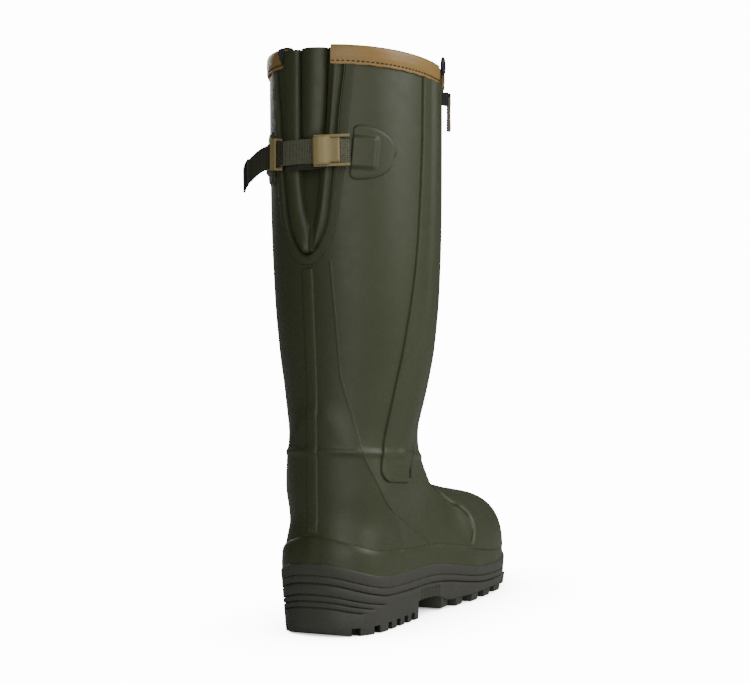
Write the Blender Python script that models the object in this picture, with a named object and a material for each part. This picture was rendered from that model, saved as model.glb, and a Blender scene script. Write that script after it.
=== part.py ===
"""Tall rubber wellington boot for the right foot, with a side zip and a strapped rear gusset.

Frame while modelling, in millimetres: +Y runs from the heel's back to the toe, +X to the outer
(little toe) side, +Z up from the floor. At the end every piece is hung on one empty that puts
the origin under the middle of the boot's box.
"""
import math

import bmesh
import bpy
import mathutils
import numpy as np

MM = 0.001

# Driving sizes
SOLE_LENGTH = 304.0
SHAFT_HEIGHT = 444.0
WALL = 4.0
GAP = 0.4
RIM_GAP = 0.7
SHAFT_TILT = 0.12
TILT_FROM_Y = 14.0
RIDGE_HEIGHT = 139.0
RIDGE_RISE = 1.3
RIDGE_WIDTH = 2.4
UPPER_INSET = 2.6
HEEL_REACH = 44.0
TOE_REACH = 78.0
TOE_TOP_REACH = 66.0
ROUND_POWER = 2.3
WIDEST_ABOVE_RIM = 8.0
FOOT_START = 72.0
FOOT_START_SLOPE = 0.3
BLEND_LOW = 4.0
BLEND_HIGH = 32.0
BLEND_FROM_Z = 60.0
BLEND_OVER_Z = 50.0


def table(names, *rows):
    """Columns by name from a few rows."""
    return dict(zip(names.split(), np.array(rows, float).T))


# Sole outline seen from above: half widths on the inner and outer side at full section
SOLE_PLAN = table(
    "y inner outer",
    (0, 42.5, 42.5),
    (45, 44.0, 44.0),
    (75, 42.0, 44.0),
    (110, 37.0, 43.5),
    (150, 43.5, 48.5),
    (185, 52.5, 53.5),
    (215, 57.0, 53.0),
    (245, 57.5, 49.0),
    (275, 54.0, 42.0),
    (304, 47.0, 33.0),
)
# Heights along the sole: rim where the upper starts, footbed inside, underside of the plate
SOLE_HEIGHTS = table(
    "y rim bed under",
    (0, 56.0, 38.0, 3.0),
    (12, 50.0, 37.0, 0.0),
    (25, 45.5, 35.5, 0.0),
    (44, 42.0, 34.0, 0.0),
    (93.8, 40.5, 30.5, 0.0),
    (94.2, 40.5, 30.5, 14.0),
    (124, 39.0, 27.0, 13.0),
    (146, 35.7, 23.0, 7.0),
    (178, 29.5, 18.5, 7.0),
    (206, 26.5, 16.5, 7.0),
    (234, 26.0, 16.5, 7.0),
    (270, 28.0, 19.0, 10.0),
    (304, 32.0, 23.0, 17.0),
)
# Upper's leg and heel as level sections: back, widest place, front and half width
LEG_LEVELS = table(
    "z back widest front half power",
    (20, 2.7, 45.5, 140, 41.4, 2.3),
    (50, 2.7, 45.5, 140, 41.4, 2.3),
    (60, 3.3, 46.5, 139, 41.0, 2.3),
    (72, 6.2, 49, 138, 40.0, 2.25),
    (83, 8.9, 52, 137.5, 39.5, 2.1),
    (95, 11.0, 56, 137, 39.3, 2.1),
    (108, 12.5, 60, 136.5, 39.7, 2.1),
    (128, 13.4, 66, 137, 41.6, 2.1),
    (146, 14.2, 71, 139, 44.5, 2.1),
    (170, 14.6, 76, 142.8, 49.0, 2.1),
    (190, 14.7, 80, 146.3, 52.6, 2.1),
    (213, 14.4, 82, 150.6, 56.5, 2.1),
    (257, 13.2, 85, 156.4, 60.5, 2.1),
    (311, 12.3, 88, 163.2, 62.3, 2.1),
    (373, 14.2, 91, 168.8, 63.0, 2.1),
    (450, 17.8, 95, 174.5, 63.5, 2.1),
)
# Upper's foot: height of the instep and toe along the middle, and how square its sections are
FOOT_TOP = table(
    "y top power",
    (60, 150, 2.2),
    (110, 146, 2.1),
    (130, 135, 2.03),
    (140, 124, 2.0),
    (150, 113, 1.95),
    (160, 104, 1.91),
    (170, 99, 1.97),
    (180, 95.5, 2.2),
    (196, 91.5, 2.5),
    (220, 87, 2.5),
    (250, 82, 2.5),
    (304, 77, 2.5),
)


def curve(columns, key, name):
    """Smooth reading of one column that never overshoots its rows."""
    at, value = columns[key], columns[name]
    step = np.diff(at)
    slope = np.diff(value) / step
    tangent = np.concatenate(([slope[0]], np.zeros(len(at) - 2), [slope[-1]]))
    product = slope[:-1] * slope[1:]
    total = np.where(product > 0, slope[:-1] + slope[1:], 1.0)
    tangent[1:-1] = np.where(product > 0, 2 * product / total, 0.0)

    def read(where):
        where = np.clip(where, at[0], at[-1])
        i = np.clip(np.searchsorted(at, where, side="right") - 1, 0, len(at) - 2)
        t = (where - at[i]) / step[i]
        rise = value[i + 1] - value[i]
        bend_in = step[i] * tangent[i]
        bend_out = step[i] * tangent[i + 1]
        return (value[i] + t * bend_in + t * t * (3 * rise - 2 * bend_in - bend_out)
                + t ** 3 * (bend_in + bend_out - 2 * rise))

    return read


inner_half = curve(SOLE_PLAN, "y", "inner")
outer_half = curve(SOLE_PLAN, "y", "outer")
rim_height = curve(SOLE_HEIGHTS, "y", "rim")
bed_height = curve(SOLE_HEIGHTS, "y", "bed")
under_height = curve(SOLE_HEIGHTS, "y", "under")
leg_back = curve(LEG_LEVELS, "z", "back")
leg_widest = curve(LEG_LEVELS, "z", "widest")
leg_front = curve(LEG_LEVELS, "z", "front")
leg_half = curve(LEG_LEVELS, "z", "half")
leg_power = curve(LEG_LEVELS, "z", "power")
foot_top = curve(FOOT_TOP, "y", "top")
foot_power = curve(FOOT_TOP, "y", "power")


def smooth(t):
    t = np.clip(t, 0.0, 1.0)
    return t * t * (3 - 2 * t)


def rounded(t, power=ROUND_POWER):
    """Falls from 1 to 0 along a rounded quarter as t goes from 0 to 1."""
    return (1 - np.clip(t, 0.0, 1.0) ** power) ** (1 / power)


def plan(s, inset=0.0):
    """Middle, half width and y of the sole outline, drawn in by inset; s runs 0 to SOLE_LENGTH."""
    middle = (outer_half(s) - inner_half(s)) / 2
    half = (outer_half(s) + inner_half(s)) / 2
    half = half * rounded(1 - s / HEEL_REACH) * rounded((s - SOLE_LENGTH + TOE_REACH) / TOE_REACH)
    y = inset + s * (SOLE_LENGTH - 2 * inset) / SOLE_LENGTH
    return middle, half * (1 - inset / HEEL_REACH), y


def along_sole(y, inset):
    """The outline's own coordinate s at a place y."""
    return np.clip((y - inset) * SOLE_LENGTH / (SOLE_LENGTH - 2 * inset), 0.0, SOLE_LENGTH)


def radial(across, up, half, reach, power):
    """Distance outside a rounded section, measured along the ray from its centre."""
    size = ((np.abs(across) / half) ** power + (np.abs(up) / reach) ** power) ** (1 / power)
    return np.hypot(across, up) * (1 - 1 / np.maximum(size, 1e-6))


def outside(p):
    """How far points lie outside the upper's outer face, in about millimetres."""
    x, y, z = p[..., 0], p[..., 1], p[..., 2]
    widest = leg_widest(z)
    reach = np.where(y < widest, widest - leg_back(z), leg_front(z) - widest)
    leg = radial(x, y - widest, leg_half(z), reach, leg_power(z))
    s = along_sole(y, UPPER_INSET)
    middle, half, _ = plan(s, UPPER_INSET)
    base = rim_height(s) + WIDEST_ABOVE_RIM
    toe = rounded((s - SOLE_LENGTH + TOE_TOP_REACH) / TOE_TOP_REACH)
    height = np.maximum((foot_top(s) - base) * toe, 0.05)
    foot = radial(x - middle, np.maximum(z - base, 0.0), np.maximum(half, 0.05), height, foot_power(s))
    foot = np.maximum(foot, FOOT_START_SLOPE * (FOOT_START - y))
    foot = np.maximum(foot, y - SOLE_LENGTH + UPPER_INSET)
    soft = BLEND_LOW + (BLEND_HIGH - BLEND_LOW) * smooth((z - BLEND_FROM_Z) / BLEND_OVER_Z)
    near = np.maximum(soft - np.abs(leg - foot), 0.0) / soft
    ridge = RIDGE_RISE * np.exp(-((shaft_height(y, z) - RIDGE_HEIGHT) / RIDGE_WIDTH) ** 2)
    return np.minimum(leg, foot) - near * near * soft / 4 - ridge


def shaft_height(y, z):
    """Height up the shaft in its own tilted levels, read at the back."""
    return z + SHAFT_TILT * (y - TILT_FROM_Y)


def reach_surface(start, direction, limit=150.0, steps=60, halvings=26):
    """First crossing of the outer face along rays that start inside."""
    start, direction = np.broadcast_arrays(np.asarray(start, float), np.asarray(direction, float))
    direction = direction / np.linalg.norm(direction, axis=-1, keepdims=True)
    low = np.zeros(start.shape[:-1])
    high = np.full(start.shape[:-1], limit)
    found = np.zeros(start.shape[:-1], bool)
    for k in range(1, steps + 1):
        far = np.full_like(low, limit * k / steps)
        out = outside(start + far[..., None] * direction) > 0
        first = out & ~found
        high = np.where(first, far, high)
        low = np.where(found | out, low, far)
        found |= out
    for _ in range(halvings):
        mid = (low + high) / 2
        out = outside(start + mid[..., None] * direction) > 0
        high = np.where(out, mid, high)
        low = np.where(out, low, mid)
    return start + low[..., None] * direction


def facing(p, step=0.05):
    """Outward direction of the outer face at points on it."""
    slope = np.stack([outside(p + step * axis) - outside(p - step * axis) for axis in np.eye(3)], -1)
    return slope / np.linalg.norm(slope, axis=-1, keepdims=True)


def shaft_middle(h):
    """Middle of the shaft at height h, on the shaft's own axis."""
    y = (leg_back(h) + leg_front(h)) / 2
    return y, h - SHAFT_TILT * (y - TILT_FROM_Y)


def on_shaft(turn, h):
    """Point on the shaft; turn in degrees from the outer side (0) forwards (90) or back (-90)."""
    turn, h = np.broadcast_arrays(np.radians(turn), np.asarray(h, float))
    y, z = shaft_middle(h)
    start = np.stack([np.zeros_like(y), y, z], -1)
    toward = np.stack([np.cos(turn), np.sin(turn), -SHAFT_TILT * np.sin(turn)], -1)
    return reach_surface(start, toward)


def on_back(x, h):
    """Point on the back of the shaft, x across from its middle."""
    x, h = np.broadcast_arrays(np.asarray(x, float), np.asarray(h, float))
    y, z = shaft_middle(h)
    return reach_surface(np.stack([x, y, z], -1), (0.0, -1.0, SHAFT_TILT))


def on_belt(s, side, above):
    """Point on the foot's side at a height above the sole's rim; side is +1 outer, -1 inner."""
    middle, half, y = plan(s, UPPER_INSET)
    spine = np.clip(y, HEEL_REACH, SOLE_LENGTH - TOE_REACH)
    spine_middle = plan(along_sole(spine, UPPER_INSET), UPPER_INSET)[0]
    z = rim_height(s) + above
    start = np.stack([spine_middle, spine, z], -1)
    end = np.stack([middle + side * half, y, z], -1)
    return reach_surface(start, end - start)


def finish(name, mesh, colour, roughness=0.6, metallic=0.0):
    """Object of the given name with its own material from a bmesh in millimetres."""
    bmesh.ops.remove_doubles(mesh, verts=mesh.verts, dist=0.002)
    bmesh.ops.recalc_face_normals(mesh, faces=mesh.faces)
    if mesh.calc_volume(signed=True) < 0:
        bmesh.ops.reverse_faces(mesh, faces=mesh.faces)
    bmesh.ops.scale(mesh, vec=(MM, MM, MM), verts=mesh.verts)
    data = bpy.data.meshes.new(name)
    mesh.to_mesh(data)
    mesh.free()
    material = bpy.data.materials.new(name)
    material.use_nodes = True
    shader = material.node_tree.nodes["Principled BSDF"]
    shader.inputs["Base Color"].default_value = (*colour, 1.0)
    shader.inputs["Roughness"].default_value = roughness
    shader.inputs["Metallic"].default_value = metallic
    data.materials.append(material)
    data.shade_smooth()
    data.set_sharp_from_angle(angle=math.radians(40))
    piece = bpy.data.objects.new(name, data)
    bpy.context.collection.objects.link(piece)
    return piece


def add_grid(mesh, points):
    """Quads over a grid of points. Returns the vertices."""
    verts = [[mesh.verts.new(p) for p in row] for row in points]
    for one, two in zip(verts, verts[1:]):
        bridge(mesh, one, two)
    return verts


def bridge(mesh, one, two):
    """Quads between two runs of vertices."""
    for k in range(len(one) - 1):
        mesh.faces.new((one[k], one[k + 1], two[k + 1], two[k]))


def shell(points, low, high, closed=False):
    """Closed plate between two offsets of a grid of points on the outer face."""
    normals = facing(points)
    mesh = bmesh.new()
    low, high = (np.broadcast_to(value, points.shape[:2])[..., None] for value in (low, high))
    top = add_grid(mesh, points + high * normals)
    under = add_grid(mesh, points + low * normals)
    if not closed:
        bridge(mesh, top[0], under[0])
        bridge(mesh, top[-1], under[-1])
    bridge(mesh, [row[0] for row in top], [row[0] for row in under])
    bridge(mesh, [row[-1] for row in top], [row[-1] for row in under])
    return mesh


def ring_loft(sections, closed=False):
    """Solid through closed sections of equal length; the ends are capped unless the run closes."""
    mesh = bmesh.new()
    rings = [[mesh.verts.new(p) for p in section] for section in sections]
    pairs = list(zip(rings, rings[1:]))
    if closed:
        pairs.append((rings[-1], rings[0]))
    for one, two in pairs:
        bridge(mesh, one + one[:1], two + two[:1])
    if not closed:
        mesh.faces.new(rings[0])
        mesh.faces.new(rings[-1])
    return mesh


for old in list(bpy.data.objects):
    bpy.data.objects.remove(old)

OLIVE = (0.066, 0.075, 0.042)
SOLE_GREY = (0.045, 0.043, 0.036)
TAN = (0.28, 0.19, 0.085)
DARK_METAL = (0.055, 0.045, 0.04)
BLACK = (0.012, 0.012, 0.012)
WEB_GREEN = (0.06, 0.062, 0.04)

# Outsole
HEEL_BREAST = 94.0
LEDGE = 7.4
BED_INSET = 8.2
HEEL_TAPER = 2.2
RIM_ROUND = 0.8
TREAD_ROUND = 1.2
FORWARD_OVER = 90.0
GROOVE_FADE = 6.0
GROOVE_WIDEN = 1.4
BREAST_STEP = 0.2
SIDE_GROOVES = table(
    "below forefoot_below depth opening",
    (9.2, 7.8, 0.9, 0.7),
    (15.2, 13.0, 1.8, 1.0),
)
HEEL_GROOVES = table(
    "share ends_at depth opening",
    (0.21, 42, 1.4, 0.9),
    (0.345, 28, 1.4, 0.9),
    (0.475, 20, 1.4, 0.9),
)
LUG_DEPTH = 7.0
LUG_LENGTH = 14.0
LUG_WIDTH = 24.0
LUG_DRAFT = 1.5
LUG_FROM_EDGE = 1.0
LUG_ROWS = (139.0, 160.0, 183.0, 207.0, 232.0, 256.0)
MIDDLE_LUG_ROWS = (150.0, 172.0, 195.0, 219.0, 244.0, 266.0)
HEEL_NOTCHES = (28.0, 45.0, 59.0, 72.0, 84.0)
NOTCH_WIDTH = 5.5
NOTCH_HEIGHT = 6.0
NOTCH_REACH = 14.0
NOTCH_BELOW = 2.0
CORNER_SHARE = 0.72

heel_run = HEEL_REACH * (1 - np.cos(np.linspace(0, np.pi / 2, 8)))
toe_run = SOLE_LENGTH - TOE_REACH + TOE_REACH * np.sin(np.linspace(0, np.pi / 2, 9))
middle_run = [62, 79, HEEL_BREAST - BREAST_STEP, HEEL_BREAST + BREAST_STEP, 112, 130, 146, 168, 188, 207]
SOLE_STATIONS = np.concatenate([heel_run, middle_run, toe_run])


def side_profile(s):
    """Heights and insets down the sole's side at s, from the footbed's edge to the tread."""
    rim, under = float(rim_height(s)), float(under_height(s))
    forward = float(smooth((s - HEEL_BREAST) / FORWARD_OVER))
    levels = [(float(bed_height(s)), BED_INSET), (rim, LEDGE), (rim, RIM_ROUND), (rim - RIM_ROUND, 0.0)]
    for below, fore, depth, opening in zip(*SIDE_GROOVES.values()):
        middle = rim - below - (fore - below) * forward
        levels += [(middle + opening, 0.0), (middle, depth), (middle - opening, 0.0)]
    lowest = levels[-1][0]
    scale = (lowest - under) / (rim_height(0) - under_height(0))
    for share, ends_at, depth, opening in zip(*HEEL_GROOVES.values()):
        middle = lowest - share * (lowest - under)
        fade = float(smooth((ends_at - s) / GROOVE_FADE))
        opening = opening * min(1.0, scale * GROOVE_WIDEN) * (fade > 0)
        levels += [(middle + opening, 0.0), (middle, depth * fade), (middle - opening, 0.0)]
    levels += [(under + TREAD_ROUND * scale, 0.2), (under, TREAD_ROUND * scale)]
    return [(z, inset + HEEL_TAPER * max(0.0, (rim - z) / rim) * (z < rim)) for z, inset in levels]


def sole_ring(stations, profile_of):
    """Grid round the outline: outer side heel to toe, then inner side back again."""
    rows = []
    for side, run in ((1, stations), (-1, stations[-2:0:-1])):
        for s in run:
            row = []
            for z, inset in profile_of(s):
                middle, half, y = plan(s, inset)
                row.append((float(middle + side * half), float(y), z))
            rows.append(row)
    return rows + rows[:1]


def ladder(mesh, verts, count, level):
    """Faces straight across the outline between its outer and inner side at one level."""
    ring = [row[level] for row in verts[:-1]]
    other = [ring[0]] + ring[:count - 2:-1]
    for k in range(count - 1):
        corners = [ring[k], ring[k + 1], other[k + 1], other[k]]
        mesh.faces.new(list(dict.fromkeys(corners)))


def outline_solid(stations, profile_of):
    """Closed solid from a side profile carried round the outline."""
    mesh = bmesh.new()
    verts = add_grid(mesh, sole_ring(stations, profile_of))
    bmesh.ops.remove_doubles(mesh, verts=mesh.verts, dist=0.0)
    ladder(mesh, verts, len(stations), 0)
    ladder(mesh, verts, len(stations), -1)
    return mesh


def block(mesh, middle, along, size, draft=0.0):
    """Box on the point under its middle, its length along a level direction, narrower below."""
    along = np.array(along, float) / np.hypot(*along)
    side = np.array((-along[1], along[0]))
    length, width, low, high = size
    rings = []
    for z, shrink in ((low, draft), (high, 0.0)):
        corners = []
        for a, b in ((-1, -1), (1, -1), (1, 1), (-1, 1)):
            flat = middle + a * (length / 2 - shrink) * along + b * (width / 2 - shrink) * side
            corners.append(mesh.verts.new((flat[0], flat[1], z)))
        rings.append(corners)
    bridge(mesh, rings[0] + rings[0][:1], rings[1] + rings[1][:1])
    mesh.faces.new(rings[0])
    mesh.faces.new(rings[1])


def guide(name, mesh):
    """Helper solid for a Boolean, left out of the model."""
    piece = finish(name, mesh, BLACK)
    piece.hide_render = True
    piece.display_type = "WIRE"
    return piece


def combine(piece, other, operation):
    change = piece.modifiers.new(other.name, "BOOLEAN")
    change.operation = operation
    change.object = other


def lug_blocks():
    mesh = bmesh.new()
    for y in LUG_ROWS:
        s = along_sole(y, 0.0)
        middle, half, _ = plan(s)
        lift = max(0.0, float(under_height(s)) - LUG_DEPTH)
        size = (LUG_WIDTH, LUG_LENGTH, lift, float(under_height(s)) + LUG_DEPTH / 2)
        for side in (1, -1):
            place = np.array((middle + side * (half - HEEL_TAPER - LUG_WIDTH / 2 - LUG_FROM_EDGE), y))
            block(mesh, place, (1.0, 0.0), size, LUG_DRAFT)
    for y in MIDDLE_LUG_ROWS:
        s = along_sole(y, 0.0)
        lift = max(0.0, float(under_height(s)) - LUG_DEPTH)
        size = (LUG_WIDTH, LUG_LENGTH, lift, float(under_height(s)) + LUG_DEPTH / 2)
        block(mesh, np.array((plan(s)[0], y)), (1.0, 0.0), size, LUG_DRAFT)
    return mesh


def notch_blocks():
    mesh = bmesh.new()
    size = (2 * NOTCH_REACH, NOTCH_WIDTH, -NOTCH_BELOW, NOTCH_HEIGHT)
    for y in HEEL_NOTCHES:
        half = float(plan(y)[1]) - HEEL_TAPER
        for side in (1, -1):
            block(mesh, np.array((side * half, y)), (1.0, 0.0), size)
    corner = HEEL_REACH * CORNER_SHARE
    for side in (1, -1):
        block(mesh, np.array((side * corner, HEEL_REACH - corner)), (side, -1.0), size)
    return mesh


outsole = finish("outsole", outline_solid(SOLE_STATIONS, side_profile), SOLE_GREY, 0.7)
combine(outsole, guide("lug_guide", lug_blocks()), "UNION")
combine(outsole, guide("notch_guide", notch_blocks()), "DIFFERENCE")

# Insole: loose footbed
INSOLE_INSET = 9.4
INSOLE_THICKNESS = 5.0
INSOLE_DRAFT = 1.0


def insole_profile(s):
    low = float(bed_height(s)) + GAP
    return [(low, INSOLE_INSET + INSOLE_DRAFT), (low + INSOLE_THICKNESS, INSOLE_INSET)]


finish("insole", outline_solid(SOLE_STATIONS, insole_profile), BLACK, 0.9)

# Upper: one hollow wall, foot and shaft together, with a U cut at the back for the gusset
HALF_SEGMENTS = 12
FAN_PIVOT = (215.0, 106.0)
SECTION_START = 0.4
SIDEWAYS_FROM_Y = 90.0
SIDEWAYS_OVER_Y = 60.0
PAST_FRONT = 30.0
HEEL_ROWS = (66, 78, 91, 105, 119)
RIDGE_ROWS = RIDGE_HEIGHT + RIDGE_WIDTH * np.array((-2.2, -1.0, 0.0, 1.0, 2.2))
LEG_ROWS = (160, 184, 214, 248, 270)
COLLAR_ROWS = (345, 378, 412, SHAFT_HEIGHT)
CUT_BOTTOM = 287.0
CUT_ROUND = 34.0
CUT_CENTRE = -2.5
CUT_HALF = table(
    "h half",
    (287, 15.0),
    (305, 17.6),
    (325, 20.0),
    (347, 22.6),
    (370, 24.8),
    (396, 26.8),
    (425, 30.0),
    (447, 32.0),
)
cut_half_width = curve(CUT_HALF, "h", "half")


def cut_half(h):
    """Half width of the U cut at a height up the shaft."""
    bottom = rounded(1 - (h - CUT_BOTTOM) / CUT_ROUND, 2.0)
    return np.where(h > CUT_BOTTOM, cut_half_width(h) * bottom, 0.0)


def evenly(points, count, gather=1.0):
    """Points at equal steps along a finely sampled path; gather above 1 crowds them at its start."""
    length = np.concatenate(([0.0], np.cumsum(np.linalg.norm(np.diff(points, axis=0), axis=1))))
    at = np.linspace(0.0, 1.0, count) ** gather * length[-1]
    return np.stack([np.interp(at, length, points[:, i]) for i in range(3)], -1)


def half_section(start_y, start_z, end_y, end_z, edge_x, on_rim, samples=121):
    """Both halves of one section through the upper, each resampled to even lengths."""
    back = np.array((start_y, start_z))
    front = np.array((end_y, end_z))
    middle = back + SECTION_START * (front - back)
    toward = (front - back) / np.linalg.norm(front - back)
    s = along_sole(middle[0], UPPER_INSET)
    sideways = float(smooth((middle[0] - SIDEWAYS_FROM_Y) / SIDEWAYS_OVER_Y))
    centre_x = CUT_CENTRE + (float(plan(s, UPPER_INSET)[0]) - CUT_CENTRE) * sideways
    halves = []
    for side in (1, -1):
        begin = 0.0
        if on_rim:
            rim = reach_surface((centre_x, start_y, start_z), (side, 0.0, 0.0))
            begin = math.atan2(abs(rim[0] - centre_x), np.linalg.norm(middle - back))
        angle = np.linspace(begin, np.pi, samples)
        start = np.array((centre_x, *middle))
        rays = np.stack([side * np.sin(angle), *(-np.cos(angle)[None] * toward[:, None])], -1)
        points = reach_surface(start, rays)
        if on_rim:
            points[0] = rim
        if edge_x > 0:
            off = side * (points[:, 0] - centre_x)
            keep = np.argmax(off > edge_x)
            share = (edge_x - off[keep - 1]) / (off[keep] - off[keep - 1])
            first = points[keep - 1] + share * (points[keep] - points[keep - 1])
            points = np.vstack([first, points[keep:]])
        halves.append(evenly(points, HALF_SEGMENTS + 1))
    return np.vstack([halves[0], halves[1][-2::-1]])


def upper_rows():
    """Rows of outer points from the toe to the collar, and whether each row is open behind."""
    tip = SOLE_LENGTH - UPPER_INSET
    rows, is_open = [], []
    low = float(rim_height(SOLE_LENGTH)) + RIM_GAP
    ends = np.linspace(low, low + WIDEST_ABOVE_RIM - RIM_GAP, HALF_SEGMENTS + 1)
    tip_x = float(plan(SOLE_LENGTH, UPPER_INSET)[0])
    edge = [(tip_x, tip, z) for z in ends]
    rows.append(np.array(edge + edge[-2::-1]))
    is_open.append(True)
    for s in SOLE_STATIONS[-2:0:-1]:
        y = float(plan(s, UPPER_INSET)[2])
        low = float(rim_height(s)) + RIM_GAP
        blunt = s > SOLE_LENGTH - TOE_TOP_REACH / 4
        above = (y, low + 2 * WIDEST_ABOVE_RIM if blunt else float(foot_top(y)))
        rows.append(half_section(y, low, *(above if y > FAN_PIVOT[0] else FAN_PIVOT), 0.0, True))
        is_open.append(True)
    for z in (float(rim_height(0.0)) + RIM_GAP, *HEEL_ROWS):
        rows.append(half_section(float(leg_back(z)), z, *FAN_PIVOT, 0.0, False))
        is_open.append(False)
    rise = CUT_ROUND * (1 - np.cos(np.linspace(0, np.pi / 2, 5)))
    for h in np.concatenate([RIDGE_ROWS, LEG_ROWS, CUT_BOTTOM + rise, COLLAR_ROWS]):
        back, front = float(leg_back(h)), float(leg_front(h)) + PAST_FRONT
        z = [h - SHAFT_TILT * (y - TILT_FROM_Y) for y in (back, front)]
        rows.append(half_section(back, z[0], front, z[1], float(cut_half(h)), False))
        is_open.append(h > CUT_BOTTOM)
    return np.array(rows), is_open


def build_upper():
    outer, is_open = upper_rows()
    toe_edge = np.broadcast_to((0.0, 1.0, 0.0), outer[:1].shape)
    normals = np.concatenate([toe_edge, facing(outer[1:])])
    foot_rows = is_open.index(False)
    level_ends = np.zeros(outer.shape[:2], bool)
    level_ends[:foot_rows, 0] = level_ends[:foot_rows, -1] = True
    level_ends[-1] = True
    normals[level_ends, 2] = 0.0
    normals /= np.linalg.norm(normals, axis=-1, keepdims=True)
    mesh = bmesh.new()
    out = add_grid(mesh, outer)
    inside = add_grid(mesh, outer - WALL * normals)
    bridge(mesh, out[-1], inside[-1])
    for i in range(len(out) - 1):
        if is_open[i] or is_open[i + 1]:
            for end in (0, -1):
                bridge(mesh, [out[i][end], out[i + 1][end]], [inside[i][end], inside[i + 1][end]])
    return mesh


finish("upper", build_upper(), OLIVE, 0.55)

# Rand: moulded strip round the foot above the sole
RAND = table(
    "s height",
    (0, 19.0),
    (45, 19.0),
    (110, 16.0),
    (180, 17.0),
    (240, 12.0),
    (280, 8.5),
    (304, 6.8),
)
rand_height = curve(RAND, "s", "height")
RAND_SHARES = np.array((0.0, 0.5, 0.88, 1.0))
RAND_GAP = 1.4
RAND_RISE = np.array((0.9, 0.9, 0.9, 0.5))
RAND_START = 1.0

around = np.concatenate([SOLE_STATIONS, SOLE_STATIONS[-2:0:-1], SOLE_STATIONS[:1]])
sides = np.where(np.arange(len(around)) < len(SOLE_STATIONS), 1.0, -1.0)
above_rim = RAND_START + (rand_height(around)[:, None] - RAND_START) * RAND_SHARES
rand_points = on_belt(around[:, None] + 0 * above_rim, sides[:, None], above_rim)
finish("rand", shell(rand_points, RAND_GAP, RAND_GAP + RAND_RISE, closed=True), OLIVE, 0.55)

# Toe cap: overlay forward of the vamp, above the rand. Its rear edge bows forward at the sides.
CAP_CENTRE = (-3.0, 176.0, 48.0)
CAP_LEAN = math.radians(-10)
CAP_GAP = 0.9
CAP_SPREAD = 0.4
CAP_GATHER = 1.5
CAP_RISE = 1.2
CAP_EDGE_RISE = 0.7
CAP_LOWEST_LIFT = -30.0
CAP_EDGE = table(
    "lift turn",
    (-30, 0.0),
    (-3, 0.0),
    (10, 10.5),
    (21, 14.0),
    (33, 10.0),
    (43, 0.0),
    (62, -4.0),
    (90, -4.0),
)
cap_edge = curve(CAP_EDGE, "lift", "turn")


def cap_ray(side, lift):
    """Directions from the cap's centre; side runs from -1 at the outer edge to 1 at the inner edge."""
    turn = np.radians(90 + side * (90 - cap_edge(lift)))
    lift = np.radians(lift)
    up = np.array((0.0, math.sin(CAP_LEAN), math.cos(CAP_LEAN)))
    ahead = np.array((0.0, math.cos(CAP_LEAN), -math.sin(CAP_LEAN)))
    across = np.array((1.0, 0.0, 0.0))
    level = np.cos(turn)[:, None] * across + np.sin(turn)[:, None] * ahead
    return np.cos(lift)[:, None] * level + np.sin(lift)[:, None] * up


def build_toe_cap(columns=25, rows=13, samples=80):
    grid = []
    spread = np.linspace(-1.0, 1.0, columns)
    for side in CAP_SPREAD * spread + (1 - CAP_SPREAD) * spread ** 3:
        lift = np.linspace(CAP_LOWEST_LIFT, 90, samples)
        points = reach_surface(CAP_CENTRE, cap_ray(side, lift))
        s = along_sole(points[:, 1], UPPER_INSET)
        clear = points[:, 2] - rim_height(s) - rand_height(s) - CAP_GAP
        first = np.argmax(clear > 0)
        begin = np.interp(0.0, clear[first - 1:first + 1], lift[first - 1:first + 1])
        lift = np.linspace(begin, 90, samples)
        grid.append(evenly(reach_surface(CAP_CENTRE, cap_ray(side, lift)), rows, CAP_GATHER))
    rise = np.full((columns, rows), CAP_RISE)
    rise[0] = rise[-1] = rise[:, 0] = rise[:, -1] = CAP_EDGE_RISE
    return shell(np.array(grid), CAP_GAP, CAP_GAP + rise)


finish("toe_cap", build_toe_cap(), OLIVE, 0.55)

# Back stay: raised rib down the middle of the back
STAY_CENTRE = -2.5
STAY_HALF = 5.0
STAY_PROFILE = table(
    "share rise",
    (-1.0, 0.4),
    (-0.6, 1.4),
    (0.6, 1.4),
    (1.0, 0.4),
)
STAY_ROWS = np.concatenate([(77, 86, 96, 108, 121), RIDGE_ROWS, (160, 190, 220, 250, 277)])

stay_points = on_back(STAY_CENTRE + STAY_HALF * STAY_PROFILE["share"][None, :], STAY_ROWS[:, None])
finish("back_stay", shell(stay_points, GAP, GAP + STAY_PROFILE["rise"][None, :]), OLIVE, 0.55)

# Gusset tape: strip round the U cut
BINDING_HEIGHT = 13.0
TAPE_WIDTH = 6.5
TAPE_FROM_EDGE = 1.0
TAPE_RISE = 1.1
UNDER_BINDING = SHAFT_HEIGHT - BINDING_HEIGHT - 2.0


def cut_edge():
    """Points (x, h) down the outer side of the U cut and up its inner side."""
    straight = np.linspace(UNDER_BINDING, CUT_BOTTOM + CUT_ROUND, 6)[:-1]
    curved = CUT_BOTTOM + CUT_ROUND * (1 - np.cos(np.linspace(np.pi / 2, 0.0, 9)))
    h = np.concatenate([straight, curved])
    outer = np.stack([cut_half(h), h], -1)
    return np.vstack([outer, outer[-2::-1] * (-1, 1)]) + (CUT_CENTRE, 0.0)


edge = cut_edge()
run = np.gradient(edge, axis=0)
away = np.stack([-run[:, 1], run[:, 0]], -1) / np.linalg.norm(run, axis=1)[:, None]
bands = TAPE_FROM_EDGE + TAPE_WIDTH * np.array((0.0, 0.15, 0.85, 1.0))
flat = edge[:, None, :] + bands[None, :, None] * away[:, None, :]
tape_rise = TAPE_RISE * np.array((0.5, 1.0, 1.0, 0.5))
finish("gusset_tape", shell(on_back(flat[..., 0], flat[..., 1]), GAP, GAP + tape_rise[None, :]), OLIVE, 0.7)

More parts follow.
